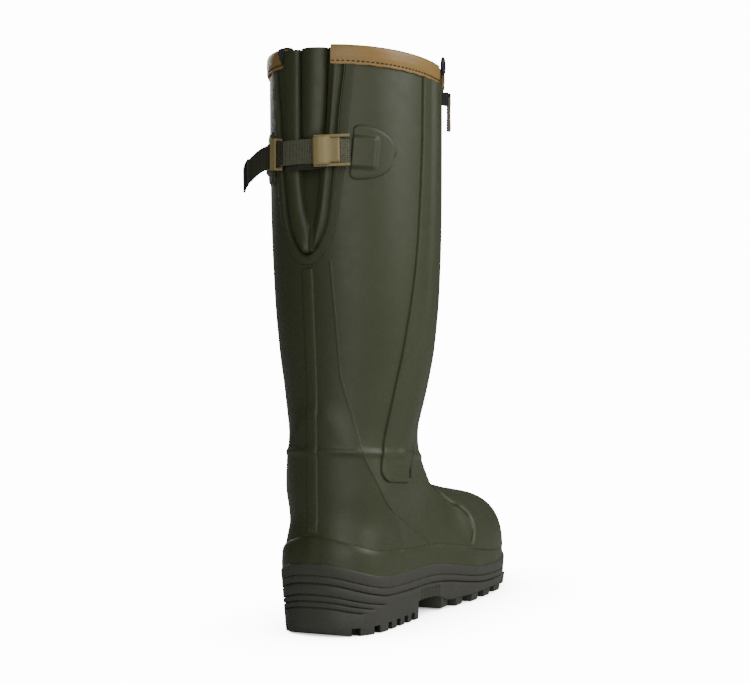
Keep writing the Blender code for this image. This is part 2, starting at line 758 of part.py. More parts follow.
# Gusset: folded bellows panel behind the cut; the folds are listed from the middle outwards
GUSSET_THICKNESS = 1.3
GUSSET_OVERLAP = 6.0
GUSSET_LEAST_HALF = 8.0
GUSSET_SIDE = 4.0
INNER_CLEAR = 1.6
FOLD_START = 6.0
FOLD_OVER = 36.0
SIDE_BENDS = (2.8, 1.6)
BINDING_CLEAR = 0.7
GUSSET_FOLDS = table(
    "share out",
    (0.0, -1.0),
    (0.2, -1.4),
    (0.35, -3.0),
    (0.43, -9.0),
    (0.485, -12.0),
    (0.55, -10.0),
    (0.63, -3.5),
    (0.71, -1.2),
    (0.8, -1.0),
)
GUSSET_HALF = table(
    "h half",
    (282, 7.0),
    (300, 8.0),
    (318, 12.0),
    (335, 17.5),
    (350, 22.0),
    (396, 26.8),
    (447, 32.0),
)
gusset_half = curve(GUSSET_HALF, "h", "half")
GUSSET_ROWS = (282, 290, 298, 307, 318, 334, 354, 378, 402, 424, 427, 431.5, SHAFT_HEIGHT - 0.5)
BEHIND = -WALL - INNER_CLEAR - GUSSET_THICKNESS / 2
LAST_OVERLAP = 424
BINDING_PATH_OUT = -1.3


def gusset_path(h):
    """Half of the folded section at height h: places across and distances out."""
    half = max(float(cut_half(h)), GUSSET_LEAST_HALF)
    fold_half = min(float(gusset_half(h)), half - GUSSET_SIDE)
    deep = float(smooth((h - CUT_BOTTOM - FOLD_START) / FOLD_OVER)) * fold_half / gusset_half(SHAFT_HEIGHT)
    across = list(GUSSET_FOLDS["share"] * fold_half)
    out = list(BEHIND + (GUSSET_FOLDS["out"] - BEHIND) * deep)
    under_wall = BINDING_PATH_OUT if h > UNDER_BINDING else BEHIND
    past_edge = GUSSET_OVERLAP if h <= LAST_OVERLAP else -BINDING_CLEAR
    across += [*(half - bend for bend in SIDE_BENDS), half + past_edge]
    out += [(out[-1] + under_wall) / 2, under_wall, under_wall]
    return np.array(across), np.array(out)


def build_gusset():
    faces = []
    for h in GUSSET_ROWS:
        across, out = gusset_path(h)
        path = np.stack([np.append(-across[:0:-1], across), np.append(out[:0:-1], out)], -1)
        run = np.gradient(path, axis=0)
        away = np.stack([-run[:, 1], run[:, 0]], -1) / np.linalg.norm(run, axis=1)[:, None]
        row = []
        for offset in (GUSSET_THICKNESS / 2, -GUSSET_THICKNESS / 2):
            moved = path + offset * away
            base = on_back(CUT_CENTRE + moved[:, 0], np.full(len(moved), h))
            row.append(base + moved[:, 1:] * facing(base))
        faces.append(row)
    mesh = bmesh.new()
    front = add_grid(mesh, [row[0] for row in faces])
    back = add_grid(mesh, [row[1] for row in faces])
    bridge(mesh, front[0], back[0])
    bridge(mesh, front[-1], back[-1])
    for end in (0, -1):
        bridge(mesh, [row[end] for row in front], [row[end] for row in back])
    return mesh


finish("gusset", build_gusset(), OLIVE, 0.55)

# Zip: placket behind it, chain, slider, top loop and pull tab on the outer side
ZIP_LINE = table(
    "h turn",
    (114, 6.0),
    (132, 11.0),
    (160, 21.0),
    (200, 26.0),
    (300, 25.0),
    (447, 21.0),
)
PLACKET_REAR = table(
    "h turn",
    (114, -30.0),
    (140, -26.0),
    (184, -20.5),
    (223, -17.5),
    (291, -10.5),
    (334, -8.0),
    (384, -6.5),
    (447, -6.0),
)
PLACKET_SECTION = table(
    "share rise",
    (0.0, 0.4),
    (0.06, 1.5),
    (0.34, 1.5),
    (0.42, 2.8),
    (0.5, 3.3),
    (0.58, 2.8),
    (0.68, 1.6),
    (0.95, 1.5),
    (1.0, 0.8),
)
CHAIN_HALF_TURN = 2.8
PLACKET_TO_CHAIN = 0.6
CHAIN_RISE = 2.2
zip_turn = curve(ZIP_LINE, "h", "turn")
placket_turn = curve(PLACKET_REAR, "h", "turn")
PLACKET_GAP = 0.6
ZIP_ROWS = np.concatenate([RIDGE_ROWS, (156, 172, 188, 206, 226, 250, 285, 320, 360, 400, UNDER_BINDING)])
PLACKET_ROWS = np.concatenate([(114, 118, 126), ZIP_ROWS])
CHAIN_ROWS = np.concatenate([(120, 127), ZIP_ROWS])

rear = placket_turn(PLACKET_ROWS)[:, None]
fore = zip_turn(PLACKET_ROWS)[:, None] - CHAIN_HALF_TURN - PLACKET_TO_CHAIN
turns = rear + (fore - rear) * PLACKET_SECTION["share"][None, :]
placket_rise = PLACKET_GAP + PLACKET_SECTION["rise"][None, :]
finish("zip_placket", shell(on_shaft(turns, PLACKET_ROWS[:, None]), PLACKET_GAP, placket_rise), OLIVE, 0.55)
turns = zip_turn(CHAIN_ROWS)[:, None] + CHAIN_HALF_TURN * np.array((-1.0, 0.0, 1.0))
finish("zip_chain", shell(on_shaft(turns, CHAIN_ROWS[:, None]), GAP, GAP + CHAIN_RISE), BLACK, 0.5)


class Place:
    """A spot on the shaft with its own directions: across (forwards), up and out."""

    def __init__(self, turn, h):
        self.spot = on_shaft(turn, h)
        self.out = facing(self.spot)
        self.across = np.cross((0.0, 0.0, 1.0), self.out)
        self.across /= np.linalg.norm(self.across)
        self.up = np.cross(self.out, self.across)

    def at(self, across, up, out):
        return self.spot + across * self.across + up * self.up + out * self.out

    def prism(self, outline, low, high):
        """Solid with the given (across, up) outline between two distances out."""
        return ring_loft([[self.at(a, b, level) for a, b in outline] for level in (low, high)])


SLIDER_HEIGHT = 420.0
SLIDER_OUT = GAP + CHAIN_RISE + GAP
SLIDER_PLATE = 1.2
SLIDER_FLOOR = SLIDER_OUT + SLIDER_PLATE
SLIDER_HALF = 5.0
EAR_WIDTH = 1.3
TAB_TOP_HALF = 3.4
TAB_HALF = 4.2
TAB_LENGTH = 27.0
TAB_THICKNESS = 1.8
TAB_ABOVE_SLIDER = 3.4
TAB_OUT = SLIDER_OUT + TAB_ABOVE_SLIDER
slider_place = Place(float(zip_turn(SLIDER_HEIGHT)), SLIDER_HEIGHT)
ear = TAB_TOP_HALF + GAP
SLIDER_SECTION = (
    (-ear - EAR_WIDTH, SLIDER_OUT),
    (ear + EAR_WIDTH, SLIDER_OUT),
    (ear + EAR_WIDTH, TAB_OUT + TAB_THICKNESS),
    (ear, TAB_OUT + TAB_THICKNESS),
    (ear, SLIDER_FLOOR),
    (-ear, SLIDER_FLOOR),
    (-ear, TAB_OUT + TAB_THICKNESS),
    (-ear - EAR_WIDTH, TAB_OUT + TAB_THICKNESS),
)
slider_rings = []
for up in (-SLIDER_HALF, SLIDER_HALF):
    slider_rings.append([slider_place.at(a, up, b) for a, b in SLIDER_SECTION])
finish("zip_slider", ring_loft(slider_rings), DARK_METAL, 0.4, 0.8)

TAB_TOP = 1.6
TAB_CORNER = 1.0
TAB_SHOULDER = -16.0
tab_foot = TAB_TOP - TAB_LENGTH
TAB_OUTLINE = (
    (-TAB_TOP_HALF, TAB_TOP - TAB_CORNER),
    (TAB_CORNER - TAB_TOP_HALF, TAB_TOP),
    (TAB_TOP_HALF - TAB_CORNER, TAB_TOP),
    (TAB_TOP_HALF, TAB_TOP - TAB_CORNER),
    (TAB_TOP_HALF, TAB_SHOULDER),
    (TAB_HALF, TAB_SHOULDER - TAB_CORNER),
    (TAB_HALF, tab_foot + TAB_CORNER),
    (TAB_HALF - TAB_CORNER, tab_foot),
    (TAB_CORNER - TAB_HALF, tab_foot),
    (-TAB_HALF, tab_foot + TAB_CORNER),
    (-TAB_HALF, TAB_SHOULDER - TAB_CORNER),
    (-TAB_TOP_HALF, TAB_SHOULDER),
)
TAB_HOLES = table(
    "up radius",
    (-6.5, 1.3),
    (-13.0, 1.1),
)
tab_body = slider_place.prism(TAB_OUTLINE, TAB_OUT, TAB_OUT + TAB_THICKNESS)
tab = finish("zip_pull_tab", tab_body, DARK_METAL, 0.4, 0.8)
holes = bmesh.new()
for up, radius in zip(*TAB_HOLES.values()):
    corners = [(radius * math.cos(a), up + radius * math.sin(a)) for a in np.linspace(0, 2 * np.pi, 9)[:-1]]
    rings = []
    for level in (TAB_OUT - TAB_THICKNESS, TAB_OUT + 2 * TAB_THICKNESS):
        rings.append([holes.verts.new(slider_place.at(a, b, level)) for a, b in corners])
    bridge(holes, rings[0] + rings[0][:1], rings[1] + rings[1][:1])
    holes.faces.new(rings[0])
    holes.faces.new(rings[1])
combine(tab, guide("tab_hole_guide", holes), "DIFFERENCE")
hinge = MM * slider_place.at(0.0, 0.0, TAB_OUT + TAB_THICKNESS / 2)
tab.data.transform(mathutils.Matrix.Translation(-hinge))
tab.location = hinge

LOOP_RADIUS = 4.0
LOOP_BAR = 1.3
LOOP_HEIGHT = 446.0
LOOP_OUT = 3.0
LOOP_STRETCH = 1.4
loop_place = Place(float(zip_turn(LOOP_HEIGHT)), LOOP_HEIGHT)


def ring_sections(place, middle_out, radius, bar, stretch, around=14, bars=6):
    """Round bar bent to a ring that lies along the surface."""
    sections = []
    for a in np.linspace(0, 2 * np.pi, around + 1)[:-1]:
        section = []
        for b in np.linspace(0, 2 * np.pi, bars + 1)[:-1]:
            size = radius + bar * math.cos(b)
            across, up = size * math.cos(a), stretch * size * math.sin(a)
            section.append(place.at(across, up, middle_out + bar * math.sin(b)))
        sections.append(section)
    return sections


loop_rings = ring_sections(loop_place, LOOP_OUT, LOOP_RADIUS, LOOP_BAR, LOOP_STRETCH)
finish("zip_top_loop", ring_loft(loop_rings, closed=True), BLACK, 0.5)

# Collar binding: folded strip over the collar in two runs, between gusset and zip
BINDING_SECTION = table(
    "out above",
    (0.4, -13.0),
    (1.6, -13.0),
    (1.7, 0.6),
    (1.0, 1.7),
    (-5.8, 1.7),
    (-6.5, 0.6),
    (-6.4, -10.0),
    (-5.2, -10.0),
    (-5.2, 0.5),
    (0.4, 0.5),
)
BINDING_RUNS = {"binding_outer": (-76.0, 15.5), "binding_front": (28.0, 253.0)}
BINDING_STEP = 7.5
for name, (begin, end) in BINDING_RUNS.items():
    sections = []
    for turn in np.linspace(begin, end, 1 + round((end - begin) / BINDING_STEP)):
        above = np.minimum(BINDING_SECTION["above"], 0.0)
        points = on_shaft(np.full(len(above), turn), SHAFT_HEIGHT + above)
        lean = facing(points) * (1, 1, 0)
        lean /= np.linalg.norm(lean, axis=1)[:, None]
        points = points + BINDING_SECTION["out"][:, None] * lean
        points[:, 2] += np.maximum(BINDING_SECTION["above"], 0.0)
        sections.append(points)
    finish(name, ring_loft(sections), TAN, 0.6)

# Strap: patches with a raised pocket, webbing, buckle, keeper and free tail
STRAP_HEIGHT = 365.0
STRAP_HALF = 9.2
PATCH_HALF = 21.0
PATCH_LENGTH_TURN = 28.0
POCKET_HALF_SHARE = 0.58
PATCH_RISE = 1.0
POCKET_RISE = 3.2
PATCH_COLUMNS = table(
    "share pocket",
    (0.0, 1),
    (0.16, 1),
    (0.28, 1),
    (0.55, 1),
    (0.58, 0),
    (0.75, 0),
    (0.9, 0),
    (0.98, 0),
)
PATCH_BANDS = np.array((-1.0, -0.62, -POCKET_HALF_SHARE, 0.0, POCKET_HALF_SHARE, 0.62, 1.0))


PATCHES = {"strap_patch_outer": (-64.6, 1), "strap_patch_inner": (-120.0, -1)}
for name, (edge_turn, away) in PATCHES.items():
    share = PATCH_COLUMNS["share"][:, None]
    heights = STRAP_HEIGHT + PATCH_HALF * rounded(share) * PATCH_BANDS[None, :]
    turns = edge_turn + away * PATCH_LENGTH_TURN * share + 0 * heights
    in_pocket = PATCH_COLUMNS["pocket"][:, None] * (np.abs(PATCH_BANDS) <= POCKET_HALF_SHARE)[None, :]
    rise = np.where(in_pocket > 0, POCKET_RISE, PATCH_RISE)
    finish(name, shell(on_shaft(turns, heights), GAP, GAP + rise), OLIVE, 0.55)


def ribbon(route, half, thickness, steps=3):
    """Flat webbing along a route of rows turn, out and h; smooth through its rows."""
    at = np.linspace(0, 1, len(route["turn"]))
    columns = dict(route, at=at)
    fine = np.linspace(0, 1, steps * (len(at) - 1) + 1)
    turn, out, h = (curve(columns, "at", name)(fine) for name in ("turn", "out", "h"))
    sections = []
    for one_turn, one_out, one_h in zip(turn, out, h):
        points = on_shaft(np.full(2, one_turn), one_h + half * np.array((-1.0, 1.0)))
        lean = facing(points)
        low, high = points + one_out * lean, points + (one_out + thickness) * lean
        sections.append([low[0], low[1], high[1], high[0]])
    return ring_loft(sections)


WEB_THICKNESS = 1.4
WEB_OUT = 3.6
STRAP_ROUTE = table(
    "turn out h",
    (-65.3, 1.9, 365),
    (-69.0, 2.8, 365),
    (-74.0, WEB_OUT, 365),
    (-90.0, WEB_OUT, 365),
    (-114.0, WEB_OUT, 365),
    (-117.0, 2.8, 365),
    (-119.3, 1.9, 365),
)
finish("strap_webbing", ribbon(STRAP_ROUTE, STRAP_HALF, WEB_THICKNESS), WEB_GREEN, 0.9)
UNDER_ROUTE = table(
    "turn out h",
    (-80.0, 1.8, 361),
    (-90.0, 1.8, 360.5),
    (-101.5, 1.8, 361),
)
finish("strap_under_layer", ribbon(UNDER_ROUTE, STRAP_HALF, WEB_THICKNESS), WEB_GREEN, 0.9)
TAIL_ROUTE = table(
    "turn out h",
    (-104.5, 5.5, 365.5),
    (-113.0, 5.6, 365),
    (-121.0, 10.5, 362),
    (-128.0, 16.5, 356),
)
finish("strap_tail", ribbon(TAIL_ROUTE, STRAP_HALF, WEB_THICKNESS), WEB_GREEN, 0.9)
TIP_EXTRA = 0.6
TIP_ROUTE = table(
    "turn out h",
    (-128.4, 17.1, 355.6),
    (-131.0, 18.6, 353),
    (-133.5, 19.5, 350),
)
finish("strap_tail_tip", ribbon(TIP_ROUTE, STRAP_HALF + TIP_EXTRA, WEB_THICKNESS + TIP_EXTRA, 2), BLACK, 0.6)

KEEPER_TURN = -110.0
KEEPER_WIDTH = 6.5
KEEPER_BAR = 1.3
KEEPER_HALF = 10.6
KEEPER_LOW = 3.25
KEEPER_HIGH = 7.8
keeper_place = Place(KEEPER_TURN, STRAP_HEIGHT)
keeper_hole = (
    (-KEEPER_HALF, KEEPER_LOW),
    (KEEPER_HALF, KEEPER_LOW),
    (KEEPER_HALF, KEEPER_HIGH),
    (-KEEPER_HALF, KEEPER_HIGH),
)
keeper_rings = []
for up, out in keeper_hole:
    outer_up = up + math.copysign(KEEPER_BAR, up)
    outer_out = out + math.copysign(KEEPER_BAR, out - (KEEPER_LOW + KEEPER_HIGH) / 2)
    half = KEEPER_WIDTH / 2
    corners = ((-half, up, out), (half, up, out), (half, outer_up, outer_out), (-half, outer_up, outer_out))
    keeper_rings.append([keeper_place.at(*corner) for corner in corners])
finish("strap_keeper", ring_loft(keeper_rings, closed=True), TAN, 0.4)

BUCKLE_TURN = -77.0
buckle_place = Place(BUCKLE_TURN, STRAP_HEIGHT)
FRAME_CLEAR = 0.7
FRAME_OUT = WEB_OUT + WEB_THICKNESS + FRAME_CLEAR
FRAME_BAR = 1.8
FRAME_HALF = 11.8
FRAME_RAIL = 2.0
FRAME_ENDS = (17.0, -10.2)
frame_open, frame_closed = FRAME_ENDS
frame_inner = FRAME_HALF - FRAME_RAIL
frame_outline = (
    (frame_open, FRAME_HALF),
    (frame_closed, FRAME_HALF),
    (frame_closed, -FRAME_HALF),
    (frame_open, -FRAME_HALF),
    (frame_open, -frame_inner),
    (frame_closed + FRAME_RAIL, -frame_inner),
    (frame_closed + FRAME_RAIL, frame_inner),
    (frame_open, frame_inner),
)
finish("buckle_frame", buckle_place.prism(frame_outline, FRAME_OUT, FRAME_OUT + FRAME_BAR), TAN, 0.4)

PLATE_OUT = FRAME_OUT + FRAME_BAR + GAP
PLATE_SECTION = table(
    "across rise",
    (-11.0, 0.6),
    (-9.5, 2.4),
    (-3.0, 3.6),
    (1.0, 3.0),
    (4.0, 2.4),
    (9.0, 2.6),
    (9.6, 1.4),
)
PLATE_HALF = 11.0
PLATE_EDGE = 1.2
PLATE_ROWS = table(
    "up length height",
    (-PLATE_HALF, 0.976, 0.6),
    (PLATE_EDGE - PLATE_HALF, 1.0, 1.0),
    (PLATE_HALF - PLATE_EDGE, 1.0, 1.0),
    (PLATE_HALF, 0.976, 0.6),
)
plate_profile = list(zip(PLATE_SECTION["across"], PLATE_SECTION["rise"]))
plate_profile += [(PLATE_SECTION["across"][-1], 0.0), (PLATE_SECTION["across"][0], 0.0)]
plate_rings = []
for up, length, height in zip(*PLATE_ROWS.values()):
    plate_rings.append([buckle_place.at(a * length, up, PLATE_OUT + b * height) for a, b in plate_profile])
finish("buckle_plate", ring_loft(plate_rings), TAN, 0.4)

# Everything hangs on one empty that puts the origin under the middle of the boot
pieces = [piece for piece in bpy.data.objects if not piece.hide_render]
corners = np.array([piece.matrix_world @ v.co for piece in pieces for v in piece.data.vertices])
boot_origin = bpy.data.objects.new("boot_origin", None)
bpy.context.collection.objects.link(boot_origin)
for piece in bpy.data.objects:
    if piece is not boot_origin:
        piece.parent = boot_origin
middle = (corners.min(axis=0) + corners.max(axis=0)) / 2
boot_origin.location = (-middle[0], -middle[1], 0.0)
bpy.context.view_layer.update()
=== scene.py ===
"""Looks of a tall olive rubber boot for the right foot, with a side zip and a strapped gusset behind.

Sizes are in millimetres in the boot's own layout: y runs from the heel's back to the toe, x to the
outer side and z up from the floor. place() puts such points into the model's frame in metres.
"""
import math

import bmesh
import bpy
import numpy as np
from mathutils import Matrix, Vector


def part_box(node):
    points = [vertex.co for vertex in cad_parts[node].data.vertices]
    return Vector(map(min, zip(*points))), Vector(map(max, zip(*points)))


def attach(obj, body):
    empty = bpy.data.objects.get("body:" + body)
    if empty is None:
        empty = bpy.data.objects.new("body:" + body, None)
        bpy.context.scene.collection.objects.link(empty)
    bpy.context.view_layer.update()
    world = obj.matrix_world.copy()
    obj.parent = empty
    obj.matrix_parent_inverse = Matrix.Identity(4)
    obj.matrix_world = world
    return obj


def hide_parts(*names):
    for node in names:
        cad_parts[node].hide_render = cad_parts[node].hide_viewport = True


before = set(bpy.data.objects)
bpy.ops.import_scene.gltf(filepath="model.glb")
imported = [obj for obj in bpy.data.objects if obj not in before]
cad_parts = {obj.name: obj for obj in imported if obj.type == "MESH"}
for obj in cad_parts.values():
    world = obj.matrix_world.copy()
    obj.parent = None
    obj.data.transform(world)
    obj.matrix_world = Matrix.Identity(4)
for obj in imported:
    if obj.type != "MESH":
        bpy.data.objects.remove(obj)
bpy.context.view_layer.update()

# Camera and light
# A long lens behind the outer side of the heel, at about knee height, as in a catalogue picture.
# The boot stands alone on a pale sweep under a large soft key light from the outer side.
# The sweep glows white to the camera, with a painted contact shadow near the boot.
MM = 0.001
upper_low, upper_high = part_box("upper")
BOOT_SHIFT = np.array(((upper_low.x + upper_high.x) / 2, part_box("outsole")[0].y, 0.0))


def place(points):
    """Points of the boot's own layout, in metres in the model's frame."""
    return np.asarray(points, float) * MM + BOOT_SHIFT


EYE = (700.0, -1200.8, 272.1)
LOOK = np.array((-0.5, 0.866, -0.050))
RIGHT = np.array((0.866, 0.5, -0.0289))
UPWARD = np.array((0.0, 0.0577, 1.0))
FOCAL_PIXELS = 1858.0
IMAGE_WIDTH = 750.0
SENSOR_WIDTH = 36.0
AIM_RIGHT = 62.5
AIM_UP = 27.0

lens = bpy.data.cameras.new("boot_camera")
lens.sensor_width = SENSOR_WIDTH
lens.lens = FOCAL_PIXELS * SENSOR_WIDTH / IMAGE_WIDTH
lens.clip_start = 0.05
camera = bpy.data.objects.new("boot_camera", lens)
bpy.context.scene.collection.objects.link(camera)
ahead = LOOK + RIGHT * AIM_RIGHT / FOCAL_PIXELS + UPWARD * AIM_UP / FOCAL_PIXELS
ahead = Vector(ahead).normalized()
side = Vector(RIGHT)
side = (side - ahead * side.dot(ahead)).normalized()
above = side.cross(ahead)
turned = Matrix((side, above, -ahead)).transposed().to_4x4()
camera.matrix_world = Matrix.Translation(Vector(place(EYE))) @ turned
bpy.context.scene.camera = camera

SWEEP_HALF_WIDTH = 4.0
SWEEP_FRONT = -3.0
SWEEP_BACK = 2.2
SWEEP_ROUND = 1.2
SWEEP_ROUND_STEPS = 17
SWEEP_TOP = 4.0
profile = [(SWEEP_FRONT, 0.0), (SWEEP_BACK, 0.0)]
for step in np.linspace(0, np.pi / 2, SWEEP_ROUND_STEPS)[1:]:
    profile.append((SWEEP_BACK + SWEEP_ROUND * math.sin(step), SWEEP_ROUND * (1 - math.cos(step))))
profile.append((SWEEP_BACK + SWEEP_ROUND, SWEEP_TOP))
sweep_mesh = bpy.data.meshes.new("pale_sweep")
sweep_ahead = Vector((LOOK[0], LOOK[1])).normalized()
sweep_right = Vector((RIGHT[0], RIGHT[1])).normalized()
sweep_verts = []
for across in (-SWEEP_HALF_WIDTH, SWEEP_HALF_WIDTH):
    for along, height in profile:
        flat = along * sweep_ahead + across * sweep_right
        sweep_verts.append((flat.x, flat.y, height))
count = len(profile)
sweep_mesh.from_pydata(sweep_verts, [], [(count + k, count + k + 1, k + 1, k) for k in range(count - 1)])
sweep_mesh.shade_smooth()
sweep = bpy.data.objects.new("pale_sweep", sweep_mesh)
bpy.context.scene.collection.objects.link(sweep)
SWEEP_GLOW = 0.03
SWEEP_WHITE = 14.0
# Reach and depth of the painted contact shadow in the sweep's glow.
PAINTED_SHADOW_REACH = 0.09
PAINTED_SHADOW_DEPTH = 0.985


def node(tree, kind, inputs=(), **settings):
    """Node of a kind, with its settings, its plain values and its links."""
    made = tree.nodes.new(kind)
    for key, value in settings.items():
        setattr(made, key, value)
    for key, value in dict(inputs).items():
        if isinstance(value, bpy.types.NodeSocket):
            tree.links.new(value, made.inputs[key])
        else:
            made.inputs[key].default_value = value
    return made


def camera_glow(tree, unseen):
    """Strength that is white to the camera and small for the light that falls on the boot."""
    path = node(tree, "ShaderNodeLightPath")
    takes = {"Value": path.outputs["Is Camera Ray"], "To Min": unseen, "To Max": SWEEP_WHITE}
    return node(tree, "ShaderNodeMapRange", takes).outputs[0]


pale = bpy.data.materials.new("pale_sweep")
pale.use_nodes = True
finish = pale.node_tree.nodes["Principled BSDF"].inputs
finish["Base Color"].default_value = (0.6, 0.6, 0.6, 1.0)
finish["Roughness"].default_value = 0.6
finish["Specular IOR Level"].default_value = 0.1
finish["Emission Color"].default_value = (1.0, 1.0, 1.0, 1.0)
glow = camera_glow(pale.node_tree, SWEEP_GLOW)
# Painted contact shadow: ambient occlusion darkens the sweep's glow where the boot is close.
near = node(pale.node_tree, "ShaderNodeAmbientOcclusion", {"Distance": PAINTED_SHADOW_REACH}).outputs["AO"]
clear = node(pale.node_tree, "ShaderNodeMapRange", {"Value": near, "To Min": 1.0 - PAINTED_SHADOW_DEPTH}).outputs[0]
lit = node(pale.node_tree, "ShaderNodeMath", {0: glow, 1: clear}, operation="MULTIPLY")
pale.node_tree.links.new(lit.outputs[0], finish["Emission Strength"])
sweep_mesh.materials.append(pale)

# Each light's place, aim, width and watts.
LIGHTS = {
    "key": ((1.55, 0.5, 1.15), (0.0, 0.0, 0.2), 1.5, 25.0),
    "fill": ((1.15, -1.85, 0.8), (0.0, 0.0, 0.15), 2.0, 21.0),
    "rim": ((-1.5, 1.2, 1.0), (0.0, 0.0, 0.25), 1.0, 13.0),
}
for name, (spot, aim, size, power) in LIGHTS.items():
    lamp = bpy.data.lights.new(name, "AREA")
    lamp.shape = "DISK"
    lamp.size = size
    lamp.energy = power
    light = bpy.data.objects.new(name, lamp)
    light.location = spot
    light.rotation_euler = (Vector(aim) - Vector(spot)).to_track_quat("-Z", "Y").to_euler()
    bpy.context.scene.collection.objects.link(light)
WORLD_GLOW = 0.04
world = bpy.data.worlds.new("studio")
world.use_nodes = True
backdrop = world.node_tree.nodes["Background"].inputs
backdrop["Color"].default_value = (1.0, 1.0, 1.0, 1.0)
world.node_tree.links.new(camera_glow(world.node_tree, WORLD_GLOW), backdrop["Strength"])
bpy.context.scene.world = world

# Upper
# One moulded rubber wall over a black knitted lining, foot and shaft together, with a deep U cut
# behind for the gusset. Its levels, instep and plan are the last's own sizes.
SOLE_LENGTH = 304.0
SHAFT_HEIGHT = 444.0
WALL = 4.0
SHAFT_TILT = 0.12
TILT_FROM_Y = 14.0
RIDGE_HEIGHT = 139.0
RIDGE_RISE = 1.3
RIDGE_WIDTH = 2.4
UPPER_INSET = 2.6
HEEL_REACH = 44.0
TOE_REACH = 78.0
TOE_TOP_REACH = 66.0
ROUND_POWER = 2.3
CIRCLE = 2.0
WIDEST_ABOVE_RIM = 8.0
FOOT_START = 72.0
FOOT_START_SLOPE = 0.3
BLEND_LOW = 4.0
BLEND_HIGH = 32.0
BLEND_FROM_Z = 60.0
BLEND_OVER_Z = 50.0
THINNEST = 0.05


def table(names, *rows):
    """Columns by name from a few rows."""
    return dict(zip(names.split(), np.array(rows, float).T))


def curve(columns, key, name):
    """Smooth reading of one column that never overshoots its rows."""
    at, value = columns[key], columns[name]
    step = np.diff(at)
    slope = np.diff(value) / step
    tangent = np.concatenate(([slope[0]], np.zeros(len(at) - 2), [slope[-1]]))
    product = slope[:-1] * slope[1:]
    total = np.where(product > 0, slope[:-1] + slope[1:], 1.0)
    tangent[1:-1] = np.where(product > 0, 2 * product / total, 0.0)

    def read(where):
        where = np.clip(where, at[0], at[-1])
        i = np.clip(np.searchsorted(at, where, side="right") - 1, 0, len(at) - 2)
        t = (where - at[i]) / step[i]
        rise = value[i + 1] - value[i]
        bend_in = step[i] * tangent[i]
        bend_out = step[i] * tangent[i + 1]
        return (value[i] + t * bend_in + t * t * (3 * rise - 2 * bend_in - bend_out)
                + t ** 3 * (bend_in + bend_out - 2 * rise))

    return read


SOLE_PLAN = table(
    "y inner outer",
    (0, 42.5, 42.5), (45, 44.0, 44.0), (75, 42.0, 44.0), (110, 37.0, 43.5), (150, 43.5, 48.5),
    (185, 52.5, 53.5), (215, 57.0, 53.0), (245, 57.5, 49.0), (275, 54.0, 42.0), (304, 47.0, 33.0),
)
SOLE_HEIGHTS = table(
    "y rim bed under",
    (0, 56.0, 38.0, 3.0), (12, 50.0, 37.0, 0.0), (25, 45.5, 35.5, 0.0), (44, 42.0, 34.0, 0.0),
    (93.8, 40.5, 30.5, 0.0), (94.2, 40.5, 30.5, 14.0), (124, 39.0, 27.0, 13.0), (146, 35.7, 23.0, 7.0),
    (178, 29.5, 18.5, 7.0), (206, 26.5, 16.5, 7.0), (234, 26.0, 16.5, 7.0), (270, 28.0, 19.0, 10.0),
    (304, 32.0, 23.0, 17.0),
)
LEG_LEVELS = table(
    "z back widest front half power",
    (20, 2.7, 45.5, 140, 41.4, 2.3), (50, 2.7, 45.5, 140, 41.4, 2.3), (60, 3.3, 46.5, 139, 41.0, 2.3),
    (72, 6.2, 49, 138, 40.0, 2.25), (83, 8.9, 52, 137.5, 39.5, 2.1), (95, 11.0, 56, 137, 39.3, 2.1),
    (108, 12.5, 60, 136.5, 39.7, 2.1), (128, 13.4, 66, 137, 41.6, 2.1), (146, 14.2, 71, 139, 44.5, 2.1),
    (170, 14.6, 76, 142.8, 49.0, 2.1), (190, 14.7, 80, 146.3, 52.6, 2.1), (213, 14.4, 82, 150.6, 56.5, 2.1),
    (257, 13.2, 85, 156.4, 60.5, 2.1), (311, 12.3, 88, 163.2, 62.3, 2.1), (373, 14.2, 91, 168.8, 63.0, 2.1),
    (450, 17.8, 95, 174.5, 63.5, 2.1),
)
FOOT_TOP = table(
    "y top power",
    (60, 150, 2.2), (110, 146, 2.1), (130, 135, 2.03), (140, 124, 2), (150, 113, 1.95), (160, 104, 1.91),
    (170, 99, 1.97), (180, 95.5, 2.2), (196, 91.5, 2.5), (220, 87, 2.5), (250, 82, 2.5), (304, 77, 2.5),
)
inner_half = curve(SOLE_PLAN, "y", "inner")
outer_half = curve(SOLE_PLAN, "y", "outer")
rim_height = curve(SOLE_HEIGHTS, "y", "rim")
bed_height = curve(SOLE_HEIGHTS, "y", "bed")
under_height = curve(SOLE_HEIGHTS, "y", "under")
leg_back = curve(LEG_LEVELS, "z", "back")
leg_widest = curve(LEG_LEVELS, "z", "widest")
leg_front = curve(LEG_LEVELS, "z", "front")
leg_half = curve(LEG_LEVELS, "z", "half")
leg_power = curve(LEG_LEVELS, "z", "power")
foot_top = curve(FOOT_TOP, "y", "top")
foot_power = curve(FOOT_TOP, "y", "power")


def smooth(t):
    """Rises softly from 0 to 1 as t does."""
    t = np.clip(t, 0.0, 1.0)
    return t * t * (3 - 2 * t)


def rounded(t, power=ROUND_POWER):
    """Falls from 1 to 0 along a rounded quarter as t goes from 0 to 1."""
    return (1 - np.clip(t, 0.0, 1.0) ** power) ** (1 / power)


def plan(s, inset=0.0):
    """Middle, half width and y of the sole outline, drawn in by inset."""
    middle = (outer_half(s) - inner_half(s)) / 2
    half = (outer_half(s) + inner_half(s)) / 2
    half = half * rounded(1 - s / HEEL_REACH) * rounded((s - SOLE_LENGTH + TOE_REACH) / TOE_REACH)
    return middle, half * (1 - inset / HEEL_REACH), inset + s * (SOLE_LENGTH - 2 * inset) / SOLE_LENGTH


def along_sole(y, inset=UPPER_INSET):
    """The outline's own coordinate at a place y."""
    return np.clip((y - inset) * SOLE_LENGTH / (SOLE_LENGTH - 2 * inset), 0.0, SOLE_LENGTH)


